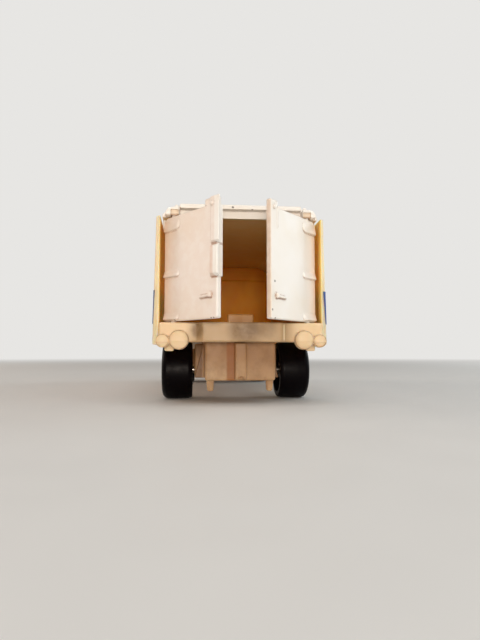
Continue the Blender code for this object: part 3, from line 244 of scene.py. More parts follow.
def shade(red, green, blue):
    """A linear colour from 0-255 screen values."""
    channels = []
    for channel in (red, green, blue):
        value = channel / 255
        channels.append(value / 12.92 if value <= 0.04045 else ((value + 0.055) / 1.055) ** 2.4)
    return (*channels, 1.0)


# Enamel

CHIP = shade(70, 52, 44)
# Painted shade: dark lines where shade falls at the feet of raised parts and under the handles
SHADE_LINE = shade(150, 108, 82)
# Painted warm shade: a darker, pinker tint for the warm light on the left door and its latch
WARM_SHADE = shade(214, 176, 152)
# Painted shade on the right door's free edge
EDGE_SHADE = shade(206, 168, 134)

# Chips on the doors: u, z and radius in mm
LEFT_CHIPS = ((1.5, 22.0, 0.4), (15.2, 21.8, 0.35), (16.1, 21.8, 0.35))
RIGHT_CHIPS = ((15.7, 30.8, 0.4), (16.7, 23.9, 0.35), (15.6, 21.9, 0.35))

# Painted shade on the doors, as shade lines and warm or edge shade: near and far u, low and high z and blur
# in mm, then the share and the colour
LEFT_PAINTED_SHADE = (
    (STRIP_NEAR - 0.25, STRIP_NEAR + 0.1, STRIP_FOOT, STRIP_TOP, 0.12, 0.45, SHADE_LINE),
    (STRIP_NEAR - 0.3, STRIP_NEAR + 0.1, LATCH[0], LATCH[1], 0.12, 0.75, SHADE_LINE),
    (STRIP_NEAR, DOOR_FREE - 0.05, LATCH[0] - 0.35, LATCH[0] + 0.1, 0.15, 0.85, SHADE_LINE),
    (STRIP_NEAR, DOOR_FREE + 0.35, LATCH[1], STRIP_FOOT, 0.12, 0.55, SHADE_LINE),
    (STRIP_NEAR, DOOR_FREE - 0.35, LATCH[0], LATCH[1], 0.4, 0.45, WARM_SHADE),
    (*OUTER_FACE, 0.4, 0.3, WARM_SHADE),
    (*UNDER_HANDLE, 0.2, 0.6, SHADE_LINE),
)
RIGHT_PAINTED_SHADE = (
    (DOOR_FREE - 0.15, DOOR_FREE + 0.75, 20.0, 52.0, 0.12, 0.55, EDGE_SHADE),
    (LOCK_BAR_U[0] + 0.3, LOCK_BAR_U[0] + 0.55, 44.0, 48.0, 0.12, 0.5, SHADE_LINE),
    (*UNDER_HANDLE, 0.2, 0.6, SHADE_LINE),
)

# The roof's marks, in mm: the header's depth from the rear edge of the boards, the lugs and two chips
HEADER_DEPTH = 2.4
LUG_SPAN = (16.35, 18.45)
LUG_TOP = 50.7
LUG_FOOT = 49.65
RIM_CHIPS = ((-2.25, -52.9, 51.8), (2.9, -52.7, 51.2))


def enamel_colour(look, grime_and_shade_share=0.9):
    """Warm white stove enamel: faint yellowing, dirt and painted shade in the corners, chips along the
    edges.
    """
    yellowing = look.ramp(look.noise(14 * MM, 3.0), 0.35, 0.7)
    tone = look.mix(yellowing, shade(243, 240, 235), shade(239, 232, 221))
    patch = look.ramp(look.noise(1.3 * MM, 3.0), 0.3, 0.55, 0.35, 1.0)
    # Darker in corners and grooves: dirt, and painted shade where shade falls there
    grime_and_shade = look.times(look.ramp(look.hollow(0.6 * MM), 0.06, 0.34), patch)
    tone = look.paint(tone, shade(150, 104, 70), grime_and_shade, grime_and_shade_share)
    flakes = look.ramp(look.noise(0.9 * MM, 4.0), 0.56, 0.66)
    worn = look.times(look.ramp(look.edge(0.35 * MM), 0.45, 0.7), flakes)
    return look.paint(tone, shade(118, 96, 82), worn, 0.75), worn


def enamel_finish(look, worn):
    look.set(Roughness=look.ramp(look.noise(3 * MM), 0.3, 0.7, 0.3, 0.42))
    peel = look.noise(0.7 * MM, 2.0)
    look.bump(look.calc("SUBTRACT", peel, look.times(worn, 0.4)), 0.22, 0.05 * MM)
    return look.material


def white_enamel():
    look = Look("white_enamel")
    tone, worn = enamel_colour(look)
    look.set(Base_Color=tone)
    return enamel_finish(look, worn)


def door_enamel(name, side, chips, painted_shade):
    """A door's enamel, with the chips of its outer face and painted shade: dark lines and warm tints."""
    look = Look(name)
    tone, worn = enamel_colour(look)
    hinge, turn = hinge_place(side), hinge_turn(side)
    across = look.along(turn.to_3x3() @ Vector((-side, 0.0, 0.0)), hinge)
    up = look.axis("Z")
    cloud = look.ramp(look.noise(2.0 * MM, 2.0), 0.3, 0.6, 0.7, 1.0)
    # Painted shade: dark lines at the feet of raised parts, warm shade tints and a shaded edge
    for near, far, low, high, blur, share, colour in painted_shade:
        area = look.times(look.within(across, near, far, blur), look.within(up, low, high, blur))
        tone = look.paint(tone, colour, look.times(area, cloud), share)
    for u, z, radius in chips:
        shut = Vector((hinge[0] - side * u * MM, hinge[1] + DOOR_OUTER * MM, z * MM))
        tone = look.paint(tone, CHIP, look.spot(turn @ shut / MM, radius, 0.6), 0.9)
    look.set(Base_Color=tone)
    return enamel_finish(look, worn)


def roof_enamel():
    """The same enamel, with painted amber light on the inside of the casting, and pivot lugs partly bare and
    greasy, partly in painted shade.
    """
    look = Look("roof_enamel")
    tone, worn = enamel_colour(look, 0.45)
    forward, up = look.axis("Y"), look.axis("Z")
    # The inside of each half is where its face looks down or towards the middle
    normal = look.add("ShaderNodeNewGeometry").outputs["Normal"]
    halves = []
    for side in (LEFT, RIGHT):
        outward = look.vector("DOT_PRODUCT", normal, (side, 0.0, 1.0), "Value")
        half = look.ramp(look.axis("X"), -side * 0.1 * MM, side * 0.1 * MM)
        halves.append(look.times(look.ramp(outward, -0.5, -0.2, 1.0, 0.0), half))
    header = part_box("side_board_left")[0].y / MM + HEADER_DEPTH
    inside = look.times(look.calc("ADD", *halves), look.above(forward, header + 0.1))
    # Painted light: a pale amber tint on the inner faces for the amber light in the hold
    painted_lighting = look.mix(look.noise(6 * MM, 3.0), shade(252, 236, 190), shade(248, 226, 168))
    tone = look.mix(inside, tone, painted_lighting)
    # The pivot lugs: yellowish, partly bare and greasy metal and partly painted shade
    lug = look.times(look.within(look.off_middle(), *LUG_SPAN, 0.15), look.below(up, LUG_TOP, 0.2))
    lug = look.times(lug, look.below(forward, header - 0.2, 0.2))
    tone = look.paint(tone, shade(214, 176, 122), lug, 0.5)
    # Painted shadow at the lugs' feet, in the gap above the doors
    foot = look.times(lug, look.below(up, LUG_FOOT, 0.25))
    tone = look.paint(tone, shade(150, 106, 66), foot, 0.7)
    for centre in RIM_CHIPS:
        tone = look.mix(look.spot(centre, 0.4, 0.5), tone, CHIP)
    look.set(Base_Color=tone)
    return enamel_finish(look, worn)


# Plastics

# The bumper's marks, in mm: darker brown patches as x, distance ahead of the rear face, z, radius and share,
# then the end of the darker middle, a painted highlight on the right slant and the door stop
BUMPER_DARK_PATCHES = (
    (-10.9, 2.0, 19.4, 2.8, 0.6),
    (0.9, 2.5, 19.8, 6.4, 0.8),
    (-2.4, 2.5, 20.6, 3.0, 0.4),
    (6.5, 2.0, 19.6, 3.6, 0.45),
)
DARK_MIDDLE_END = 13.25
HIGHLIGHT_X = (10.6, 11.0)
HIGHLIGHT_Z = (16.9, 20.9)
STOP_HALF = 3.6
STOP_FOOT = 21.45

# The chassis' marks, in mm: the height from which it is painted darker as the bumper's shadow, a painted
# shadow beside the rib and the flared blocks, painted in shade
SHADED_FROM = 10.5
RIB_SHADOW_X = (-3.6, -1.5)
RIB_SHADOW_FRONT = -39.0
FLARE_INNER = 9.95
FLARE_FRONT = -36.0


def cream_look(name, pale, deep, grime_and_shade_share):
    """Polystyrene yellowed unevenly, with dirt and painted shade in the corners, rubbed edges and a faint
    moulding flow.
    """
    look = Look(name)
    flow = look.noise(9 * MM, 3.0, 0.55, stretch=(1.0, 1.6, 1.0))
    tone = look.mix(look.ramp(flow, 0.3, 0.7), pale, deep)
    patch = look.ramp(look.noise(2 * MM, 3.0), 0.2, 0.7)
    # Darker in corners and creases: dirt, and painted shade where shade falls there
    grime_and_shade = look.times(look.ramp(look.hollow(0.9 * MM), 0.2, 0.7), patch)
    tone = look.paint(tone, shade(150, 98, 54), grime_and_shade, grime_and_shade_share)
    lighter_mark = look.times(look.ramp(look.edge(0.4 * MM), 0.4, 0.7), look.noise(1.2 * MM, 3.0))
    tone = look.paint(tone, shade(250, 240, 216), lighter_mark, 0.7)
    look.set(Subsurface_Weight=0.35, Subsurface_Scale=1.2 * MM, Subsurface_Radius=(1.0, 0.62, 0.3))
    look.set(Roughness=look.ramp(look.noise(2.5 * MM, 3.0), 0.3, 0.7, 0.36, 0.5))
    look.bump(look.noise(0.45 * MM, 3.0), 0.15, 0.04 * MM)
    return look, tone


def cream_plastic():
    look, tone = cream_look("cream_plastic", shade(236, 212, 170), shade(228, 196, 146), 0.85)
    look.set(Base_Color=tone)
    return look.material


def board_plastic():
    """The side boards: paler outside, painted amber on the inner faces as painted light, and thin enough to
    let light through.
    """
    look, tone = cream_look("board_plastic", shade(246, 214, 180), shade(240, 202, 162), 0.8)
    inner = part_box("side_board_right")[0].x
    inside = look.ramp(look.off_middle(), inner + 0.02 * MM, inner + 0.25 * MM, 1.0, 0.0)
    # Painted light: the inner faces tinted amber for the light that passes through the boards
    amber = look.mix(look.noise(7 * MM, 2.0), shade(250, 196, 118), shade(244, 180, 94))
    look.set(Base_Color=look.mix(inside, tone, amber))
    look.set(Subsurface_Weight=0.9, Subsurface_Scale=6 * MM, Subsurface_Radius=(1.0, 0.58, 0.28))
    return look.material


def bumper_plastic():
    """The rear bumper: darker in the middle with darker brown patches, a painted highlight on the right
    slant and darker amber over the door stop.
    """
    look, tone = cream_look("bumper_plastic", shade(232, 208, 172), shade(224, 196, 156), 0.85)
    across, up = look.axis("X"), look.axis("Z")
    # Darker and browner towards the middle, with darker brown patches
    tone = look.paint(tone, shade(168, 136, 98), look.below(look.off_middle(), DARK_MIDDLE_END, 1.75), 0.75)
    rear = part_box("rear_bumper")[0].y / MM
    for x, ahead, z, radius, share in BUMPER_DARK_PATCHES:
        tone = look.paint(tone, shade(104, 74, 38), look.spot((x, rear + ahead, z), radius), share)
    # Painted highlight: a light stripe where light catches the right slant
    lighter_mark = look.times(look.within(across, *HIGHLIGHT_X, 0.15), look.within(up, *HIGHLIGHT_Z, 0.4))
    tone = look.paint(tone, shade(250, 236, 204), lighter_mark, 0.8)
    stop = look.times(look.within(across, -STOP_HALF, STOP_HALF), look.above(up, STOP_FOOT, 0.25))
    look.set(Base_Color=look.paint(tone, shade(170, 116, 48), stop, 0.75), Specular_IOR_Level=0.3)
    return look.material


def chassis_plastic():
    """The chassis moulding: browner and dustier than the body, with painted shade under the bumper, beside
    its rear rib and on its flared blocks.
    """
    look, tone = cream_look("chassis_plastic", shade(190, 158, 122), shade(174, 138, 102), 0.9)
    forward = look.axis("Y")
    # Painted shadow of the bumper: darker towards the top
    tone = look.paint(tone, shade(154, 114, 76), look.above(look.axis("Z"), SHADED_FROM, 3.0), 0.8)
    dust = look.ramp(look.noise(3.5 * MM, 4.0, 0.6), 0.4, 0.75)
    tone = look.paint(tone, shade(114, 82, 54), dust, 0.35)
    # Painted shadow beside the rear rib
    painted_lighting = look.within(look.axis("X"), *RIB_SHADOW_X, 0.35)
    painted_lighting = look.times(painted_lighting, look.below(forward, RIB_SHADOW_FRONT, 1.0))
    tone = look.paint(tone, shade(144, 84, 32), painted_lighting, 0.75)
    # Painted shade on the flared blocks
    flare = look.above(look.off_middle(), FLARE_INNER, 0.25)
    flare = look.times(flare, look.below(forward, FLARE_FRONT, 2.0))
    look.set(Base_Color=look.paint(tone, shade(84, 52, 28), flare, 0.65), Specular_IOR_Level=0.2)
    return look.material


def amber_plastic(name, pale, deep):
    """Amber plastic, unevenly deep and darker in the corners: dust, and painted shade there."""
    look = Look(name)
    flow = look.noise(8 * MM, 2.0, 0.5, stretch=(1.0, 1.0, 2.5))
    tone = look.mix(look.ramp(flow, 0.3, 0.7), pale, deep)
    # Darker in corners: dust, and painted shade where shade falls there
    dust = look.times(look.ramp(look.hollow(1.2 * MM), 0.3, 0.9), look.noise(2 * MM, 3.0))
    look.set(Base_Color=look.paint(tone, shade(132, 80, 16), dust, 0.7))
    look.set(Subsurface_Weight=0.3, Subsurface_Scale=1.5 * MM, Subsurface_Radius=(1.0, 0.5, 0.1))
    look.set(Roughness=look.ramp(look.noise(2 * MM, 3.0), 0.3, 0.7, 0.45, 0.6), Specular_IOR_Level=0.25)
    look.bump(look.noise(0.5 * MM, 2.0), 0.12, 0.04 * MM)
    return look.material


def black_plastic():
    """Gloss black plastic with a little fine dust, more of it in the corners."""
    look = Look("black_plastic")
    dust = look.ramp(look.noise(0.8 * MM, 5.0, 0.65), 0.58, 0.85)
    tone = look.paint(shade(8, 5, 7), shade(56, 48, 46), dust, 0.12)
    corners = look.ramp(look.hollow(0.8 * MM), 0.3, 0.8)
    look.set(Base_Color=look.paint(tone, shade(56, 46, 40), corners, 0.2), Specular_IOR_Level=0.06)
    look.set(Roughness=look.ramp(look.noise(1.6 * MM, 4.0), 0.35, 0.75, 0.32, 0.46))
    look.bump(look.noise(0.6 * MM, 3.0), 0.08, 0.03 * MM)
    return look.material


def plated_plastic():
    """Vacuum plating that has worn through to grey plastic on its edges."""
    look = Look("plated_plastic")
    flakes = look.ramp(look.noise(0.7 * MM, 4.0), 0.45, 0.6)
    worn = look.times(look.ramp(look.edge(0.3 * MM), 0.4, 0.7), flakes)
    # Darker in corners: grime, and painted shade where shade falls there
    grime_and_shade = look.ramp(look.hollow(0.7 * MM), 0.25, 0.8)
    tone = look.paint(shade(206, 206, 205), shade(84, 78, 72), grime_and_shade, 0.6)
    look.set(Base_Color=look.mix(worn, tone, shade(132, 128, 122)))
    look.set(Metallic=look.calc("SUBTRACT", 1.0, look.times(worn, 0.8)))
    look.set(Roughness=look.ramp(look.noise(1.5 * MM, 3.0), 0.3, 0.75, 0.12, 0.3))
    look.bump(look.noise(0.8 * MM, 2.0), 0.08, 0.03 * MM)
    return look.material


def clear_plastic():
    """Clear glazing, slightly yellowed, with fine haze."""
    look = Look("clear_plastic")
    haze = look.ramp(look.noise(1.8 * MM, 5.0, 0.6), 0.45, 0.8)
    look.set(Base_Color=look.mix(haze, shade(250, 247, 232), shade(236, 226, 196)))
    look.set(Transmission_Weight=0.92, IOR=1.49)
    look.set(Roughness=look.ramp(haze, 0.0, 1.0, 0.03, 0.2))
    look.bump(look.noise(4 * MM, 1.0), 0.06, 0.05 * MM)
    return look.material


# Steel and print

def steel():
    """Drawn wire and set rivets, slightly tarnished."""
    look = Look("steel")
    tarnish = look.ramp(look.noise(0.9 * MM, 4.0, 0.6), 0.45, 0.75)
    look.set(Base_Color=look.mix(tarnish, shade(150, 144, 136), shade(110, 92, 74)), Metallic=1.0)
    drawn = look.noise(0.25 * MM, 2.0, 0.5, stretch=(6.0, 1.0, 1.0))
    look.set(Roughness=look.ramp(drawn, 0.3, 0.7, 0.22, 0.45))
    look.bump(look.noise(0.3 * MM, 2.0), 0.1, 0.02 * MM)
    return look.material


def blue_band():
    """A printed blue band, rubbed thin in patches."""
    look = Look("blue_band")
    lighter_mark = look.ramp(look.noise(1.1 * MM, 4.0, 0.65), 0.52, 0.72)
    look.set(Base_Color=look.paint(shade(30, 66, 138), shade(92, 118, 164), lighter_mark, 0.5))
    look.set(Roughness=look.ramp(look.noise(0.8 * MM, 3.0), 0.3, 0.7, 0.35, 0.55))
    look.bump(look.noise(0.4 * MM, 2.0), 0.1, 0.02 * MM)
    return look.material


LOOKS = {
    "white_enamel": white_enamel(),
    "cream_plastic": cream_plastic(),
    "amber_plastic": amber_plastic("amber_plastic", shade(246, 170, 32), shade(238, 156, 22)),
    "black_plastic": black_plastic(),
    "steel": steel(),
    "plated_plastic": plated_plastic(),
    "clear_plastic": clear_plastic(),
    "blue_band": blue_band(),
}
BOARD_LOOK = board_plastic()
NODE_LOOKS = {
    "box_roof": roof_enamel(),
    "door_left": door_enamel("left_door_enamel", LEFT, LEFT_CHIPS, LEFT_PAINTED_SHADE),
    "door_right": door_enamel("right_door_enamel", RIGHT, RIGHT_CHIPS, RIGHT_PAINTED_SHADE),
    "box_floor": amber_plastic("floor_plastic", shade(250, 214, 140), shade(246, 202, 118)),
    "side_board_left": BOARD_LOOK,
    "side_board_right": BOARD_LOOK,
    "rear_bumper": bumper_plastic(),
    "chassis_base": chassis_plastic(),
}


# Shapes

WELD = 0.002 * MM
ON_AXIS = 0.001 * MM
NORMAL_WEIGHT = 60


def settle(item):
    """The evaluated mesh of an item, which is then removed from the scene."""
    bpy.context.view_layer.update()
    graph = bpy.context.evaluated_depsgraph_get()
    mesh = bpy.data.meshes.new_from_object(item.evaluated_get(graph))
    bpy.data.objects.remove(item)
    return mesh


def show(name, mesh):
    item = bpy.data.objects.new(name, mesh)
    bpy.context.scene.collection.objects.link(item)
    return item


def mesh_of(name, form):
    """A mesh made of a bmesh, which is then freed."""
    mesh = bpy.data.meshes.new(name)
    form.to_mesh(mesh)
    form.free()
    return mesh


def stand_for(item, node):
    """Let a piece stand for a CAD node: it rides on the node's body and has its finish."""
    item.data.materials.clear()
    item.data.materials.append(NODE_LOOKS.get(node) or LOOKS[SLOTS[node]])
    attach(item, BODIES[node])
    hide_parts(node)


def soft_normals(item):
    item.data.shade_smooth()
    normals = item.modifiers.new("soft_normals", "WEIGHTED_NORMAL")
    normals.weight = NORMAL_WEIGHT
    return item


def cad_form(node):
    """A welded bmesh copy of a CAD node."""
    form = bmesh.new()
    form.from_mesh(NODES[node].data)
    bmesh.ops.remove_doubles(form, verts=form.verts, dist=WELD)
    return form


def softened(name, form, voxel, passes, faces, turn=None, carve=None):
    """One continuous skin over a bmesh, with its edges and corners softened like a casting's.

    The form is turned into its own frame for the work, so that its flat faces stay flat. A carve
    function may move the fine points before their number is brought down to about the given faces.
    """
    turn = turn or Matrix.Identity(4)
    form.transform(turn.inverted())
    item = show(name, mesh_of(name, form))
    remesh = item.modifiers.new("skin", "REMESH")
    remesh.mode = "VOXEL"
    remesh.voxel_size = voxel
    smooth = item.modifiers.new("soften", "SMOOTH")
    smooth.factor = 0.5
    smooth.iterations = passes
    mesh = settle(item)
    if carve:
        points = np.empty(len(mesh.vertices) * 3)
        mesh.vertices.foreach_get("co", points)
        points = carve(points.reshape(-1, 3))
        mesh.vertices.foreach_set("co", points.ravel())
        mesh.update()
    item = show(name, mesh)
    fewer = item.modifiers.new("fewer", "DECIMATE")
    fewer.ratio = min(1.0, faces / (2 * len(mesh.polygons)))
    mesh = settle(item)
    mesh.transform(turn)
    mesh.name = name
    return soft_normals(show(name, mesh))


def lathe(profile, steps=96):
    """A bmesh turned about the X axis from (radius, station) points, closed where it meets the axis."""
    form = bmesh.new()
    rings = []
    for radius, station in profile:
        if radius < ON_AXIS:
            rings.append([form.verts.new((station, 0.0, 0.0))])
            continue
        ring = []
        for step in range(steps):
            angle = 2 * math.pi * step / steps
            ring.append(form.verts.new((station, radius * math.cos(angle), radius * math.sin(angle))))
        rings.append(ring)
    pairs = list(zip(rings, rings[1:]))
    if len(rings[0]) > 1:
        pairs.append((rings[-1], rings[0]))
    for first, second in pairs:
        for step in range(steps):
            after = (step + 1) % steps
            corners = []
            for ring, spot in ((first, step), (first, after), (second, after), (second, step)):
                corner = ring[spot % len(ring)]
                if corner not in corners:
                    corners.append(corner)
            if len(corners) > 2:
                form.faces.new(corners)
    bmesh.ops.recalc_face_normals(form, faces=form.faces)
    return form


def eased(profile, radius, steps=3, closed=True):
    """Round the corners of a profile of points."""
    points = []
    count = len(profile)
    for index, spot in enumerate(profile):
        here = Vector(spot)
        if not closed and index in (0, count - 1):
            points.append(spot)
            continue
        before = Vector(profile[index - 1]) - here
        after = Vector(profile[(index + 1) % count]) - here
        reach = min(radius, 0.4 * before.length, 0.4 * after.length)
        start, end = here + before.normalized() * reach, here + after.normalized() * reach
        for step in range(steps + 1):
            share = step / steps
            rest = 1 - share
            points.append(tuple(rest**2 * start + 2 * share * rest * here + share**2 * end))
    return points


def finish_turned(name, form, place, flip=False):
    """A turned piece at its place; a flipped one faces the other way along X."""
    mesh = mesh_of(name, form)
    turn = Matrix.Rotation(math.pi, 4, "Z") if flip else Matrix.Identity(4)
    mesh.transform(Matrix.Translation(place) @ turn)
    return soft_normals(show(name, mesh))


# Castings and mouldings that keep the shape of their CAD nodes

# A raised pad on a door, in mm: its borders in u and z, the widths of its slopes at both sides, at its
# foot and at its top, and the share of its height that is left at the borders
Pad = namedtuple("Pad", "near far low high across below above left_over")
PAD_MARGIN = 0.3
TONGUE_WIDER = 0.17
TONGUE_BLEND = 0.5

# The bumper's lamps, in mm: distance from the middle, height and radius; then a margin round their
# faces, the depth of these, of their domes and of the step at the parting line, and that line's
# distance below their middles
BUMPER_LAMPS = ((16.0, 16.9, 2.5), (20.1, 16.7, 1.75))
LAMP_MARGIN = 0.05
LAMP_DEPTH = 0.6
LAMP_DOME = 0.5
PARTING_STEP = 0.12
PARTING_DROP = 0.4

# The locating pegs, in mm: distance from the middle, reach, top and front border, and the share by which
# they widen within a blend below the top
PEG_MIDDLE = 7.9
PEG_REACH = 1.3
PEG_TOP = 6.25
PEG_FRONT = -40.0
PEG_WIDER = 0.2
PEG_BLEND = 0.3


def rise(distance, blend):
    """0 up to a border, then a smooth rise to 1 within a blend beyond it."""
    share = np.clip(distance / blend, 0.0, 1.0)
    return share * share * (3.0 - 2.0 * share)


def door_pads(side):
    """The raised pads of a door: its straps, and the left one's strip and latch or the right one's bar."""
    pads = []
    for low, high in STRAPS:
        pads.append(Pad(PAST_HINGE, STRAP_TIP, low, high, 0.7, 0.25, 0.85 * (high - low), 0.12))
    if side == LEFT:
        pads.append(Pad(STRIP_NEAR, PAST_EDGE, *LATCH, 0.8, 0.7, 0.5, 0.35))
        pads.append(Pad(STRIP_NEAR, PAST_EDGE, STRIP_FOOT, PAST_TOP, 0.7, 0.4, 0.4, 0.35))
    else:
        pads.append(Pad(*LOCK_BAR_U, *LOCK_BAR_Z, 1.2, 1.5, 0.5, 0.1))
    return pads


def door_carve(side):
    """Soften a closed door's pads like pillows, widen its tongue and round its lower free corner."""
    hinge = hinge_place(side)
    pads = door_pads(side)

    def carve(points):
        u = -side * (points[:, 0] / MM - hinge[0] / MM)
        w = (points[:, 1] - hinge[1]) / MM
        z = points[:, 2] / MM
        for pad in pads:
            share = rise(u - pad.near, pad.across) * rise(pad.far - u, pad.across)
            share = share * rise(z - pad.low, pad.below) * rise(pad.high - z, pad.above)
            beside = (u > pad.near - PAD_MARGIN) & (u < pad.far + PAD_MARGIN)
            level = (z > pad.low - PAD_MARGIN) & (z < pad.high + PAD_MARGIN)
            height = (w - DOOR_OUTER) * (pad.left_over + (1.0 - pad.left_over) * share)
            w = np.where((w < DOOR_OUTER) & beside & level, DOOR_OUTER + height, w)
        wider = 1.0 + TONGUE_WIDER * rise(z - TONGUE_FOOT, TONGUE_BLEND)
        u = np.where(u > TONGUE_ZONE, DOOR_FREE - (DOOR_FREE - u) * wider, u)
        along, down = u - (DOOR_FREE - CORNER_BEND), z - (DOOR_BOTTOM + CORNER_BEND)
        reach = np.hypot(along, down)
        corner = (along > 0.0) & (down < 0.0) & (reach > CORNER_BEND)
        u = np.where(corner, DOOR_FREE - CORNER_BEND + along / reach * CORNER_BEND, u)
        z = np.where(corner, DOOR_BOTTOM + CORNER_BEND + down / reach * CORNER_BEND, z)
        return np.column_stack((hinge[0] - side * u * MM, hinge[1] + w * MM, z * MM))

    return carve


def lamp_carve(points):
    """Dome the four bumper lamps a little and set their lower halves back along a parting line."""
    x, y, z = (points / MM).T
    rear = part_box("rear_bumper")[0].y / MM
    for centre, height, radius in BUMPER_LAMPS:
        reach = np.hypot(np.abs(x) - centre, z - height)
        face = (reach < radius + LAMP_MARGIN) & (y < rear + LAMP_DEPTH)
        step = PARTING_STEP * rise(height - PARTING_DROP - z, PARTING_STEP)
        y = np.where(face, y + LAMP_DOME * (reach / radius) ** 2 + step, y)
    return np.column_stack((x, y, z)) * MM


def peg_carve(points):
    """Fill out the two locating pegs under the chassis."""
    x, y, z = (points / MM).T
    peg = (z < PEG_TOP) & (np.abs(np.abs(x) - PEG_MIDDLE) < PEG_REACH) & (y < PEG_FRONT)
    share = PEG_WIDER * rise(PEG_TOP - z, PEG_BLEND)
    middle = np.sign(x) * PEG_MIDDLE
    return np.column_stack((np.where(peg, x + (x - middle) * share, x), y, z)) * MM


TURNS = {"door_left": hinge_turn(LEFT), "door_right": hinge_turn(RIGHT)}
CARVES = {
    "door_left": door_carve(LEFT),
    "door_right": door_carve(RIGHT),
    "rear_bumper": lamp_carve,
    "chassis_base": peg_carve,
}

# Piece, CAD node, voxel in mm, smoothing passes and faces
SOFT_PIECES = (
    ("door_left_casting", "door_left", 0.07, 7, 50000),
    ("door_right_casting", "door_right", 0.07, 7, 50000),
    ("rear_bumper_moulding", "rear_bumper", 0.09, 8, 40000),
    ("front_bumper_moulding", "front_bumper", 0.12, 8, 30000),
    ("roof_casting", "box_roof", 0.12, 5, 60000),
    ("cab_casting", "cab_shell", 0.15, 6, 50000),
    ("chassis_moulding", "chassis_base", 0.16, 6, 50000),
    ("left_board", "side_board_left", 0.15, 6, 20000),
    ("right_board", "side_board_right", 0.15, 6, 20000),
    ("floor_moulding", "box_floor", 0.18, 4, 8000),
    ("bulkhead_moulding", "box_bulkhead", 0.13, 6, 16000),
    ("interior_moulding", "cab_interior", 0.15, 6, 16000),
    ("grille_plate", "front_grille", 0.1, 5, 16000),
    ("rear_keeper", "axle_keeper_rear", 0.12, 4, 4000),
    ("front_keeper", "axle_keeper_front", 0.12, 4, 4000),
)
for name, node, voxel, passes, faces in SOFT_PIECES:
    piece = softened(name, cad_form(node), voxel * MM, passes, faces, TURNS.get(node), CARVES.get(node))
    stand_for(piece, node)

for node in ("cab_glazing", "side_band_left", "side_band_right"):
    NODES[node].data.materials.clear()
    NODES[node].data.materials.append(LOOKS[SLOTS[node]])


# Wheels, hub caps and axles

low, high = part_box("wheel_rear_right")
WHEEL_RADIUS = (high.z - low.z) / 2
WHEEL_WIDTH = high.x - low.x
WHEEL_MIDDLE = (high.x + low.x) / 2
RIM = 0.74 * WHEEL_RADIUS
RIM_TAPER = 0.3 * MM
WEB = 0.2 * WHEEL_WIDTH
WEB_THICKNESS = 1.2 * MM
BORE = 1.02 * MM
BOSS = 2.4 * MM
CAP_BACK = WEB + 0.1 * MM
CAP_FRONT = 0.44 * WHEEL_WIDTH
CAP_RADIUS = RIM - 0.1 * MM
HOLES = 6
HOLE_CIRCLE = 0.62 * CAP_RADIUS
HOLE_RADIUS = 0.13 * CAP_RADIUS
HOLE_DEPTH = 8 * MM


def wheel_form():
    """A one-piece wheel with a rounded tread; +X is its outer side, and its inner side is hollow."""
    half = WHEEL_WIDTH / 2
    shoulder = 0.2 * WHEEL_WIDTH
    web_back = WEB - WEB_THICKNESS
    boss_end = 0.1 * WHEEL_WIDTH - half
    profile = [(RIM, WEB), (RIM, half)]
    for angle in range(90, 10, -15):
        turn = math.radians(angle)
        profile.append((
            WHEEL_RADIUS - shoulder + shoulder * math.cos(turn),
            half - shoulder + shoulder * math.sin(turn),
        ))
    profile += [(WHEEL_RADIUS, 0.08 * WHEEL_WIDTH), (0.99 * WHEEL_RADIUS, 0.12 * WHEEL_WIDTH - half)]
    profile += [(0.95 * WHEEL_RADIUS, -half), (RIM + RIM_TAPER, -half), (RIM - RIM_TAPER, web_back)]
    profile += [(BOSS, web_back), (BOSS, boss_end), (BORE, boss_end), (BORE, WEB)]
    return lathe(eased(profile, 0.25 * MM))


def cap_form():
    """A hub cap with a domed centre and a dished ring."""
    dome = 0.34 * CAP_RADIUS
    dish = CAP_BACK + 0.35 * (CAP_FRONT - CAP_BACK)
    profile = [(0.0, CAP_FRONT), (0.4 * dome, CAP_FRONT - 0.03 * MM)]
    profile += [(0.7 * dome, CAP_FRONT - 0.12 * MM), (dome, CAP_FRONT - 0.5 * MM)]
    profile += [(1.15 * dome, dish), (0.82 * CAP_RADIUS, dish)]
    profile += [(0.9 * CAP_RADIUS, CAP_FRONT - 0.25 * MM), (CAP_RADIUS, CAP_FRONT - 0.3 * MM)]
    profile += [(CAP_RADIUS, CAP_BACK), (0.0, CAP_BACK)]
    return lathe(eased(profile, 0.2 * MM, closed=False))


def cap_mesh():
    """The hub cap with its ring of round holes."""
    item = show("cap", mesh_of("cap", cap_form()))
    holes = bmesh.new()
    for step in range(HOLES):
        angle = math.radians(360 / HOLES * step)
        spot = Vector((CAP_BACK, HOLE_CIRCLE * math.cos(angle), HOLE_CIRCLE * math.sin(angle)))
        place = Matrix.Translation(spot) @ Matrix.Rotation(math.radians(90), 4, "Y")
        bmesh.ops.create_cone(
            holes, cap_ends=True, segments=32, radius1=HOLE_RADIUS, radius2=HOLE_RADIUS,
            depth=HOLE_DEPTH, matrix=place,
        )
    tool = show("cap_holes", mesh_of("cap_holes", holes))
    cutter = item.modifiers.new("holes", "BOOLEAN")
    cutter.operation = "DIFFERENCE"
    cutter.object = tool
    mesh = settle(item)
    bpy.data.objects.remove(tool)
    return mesh


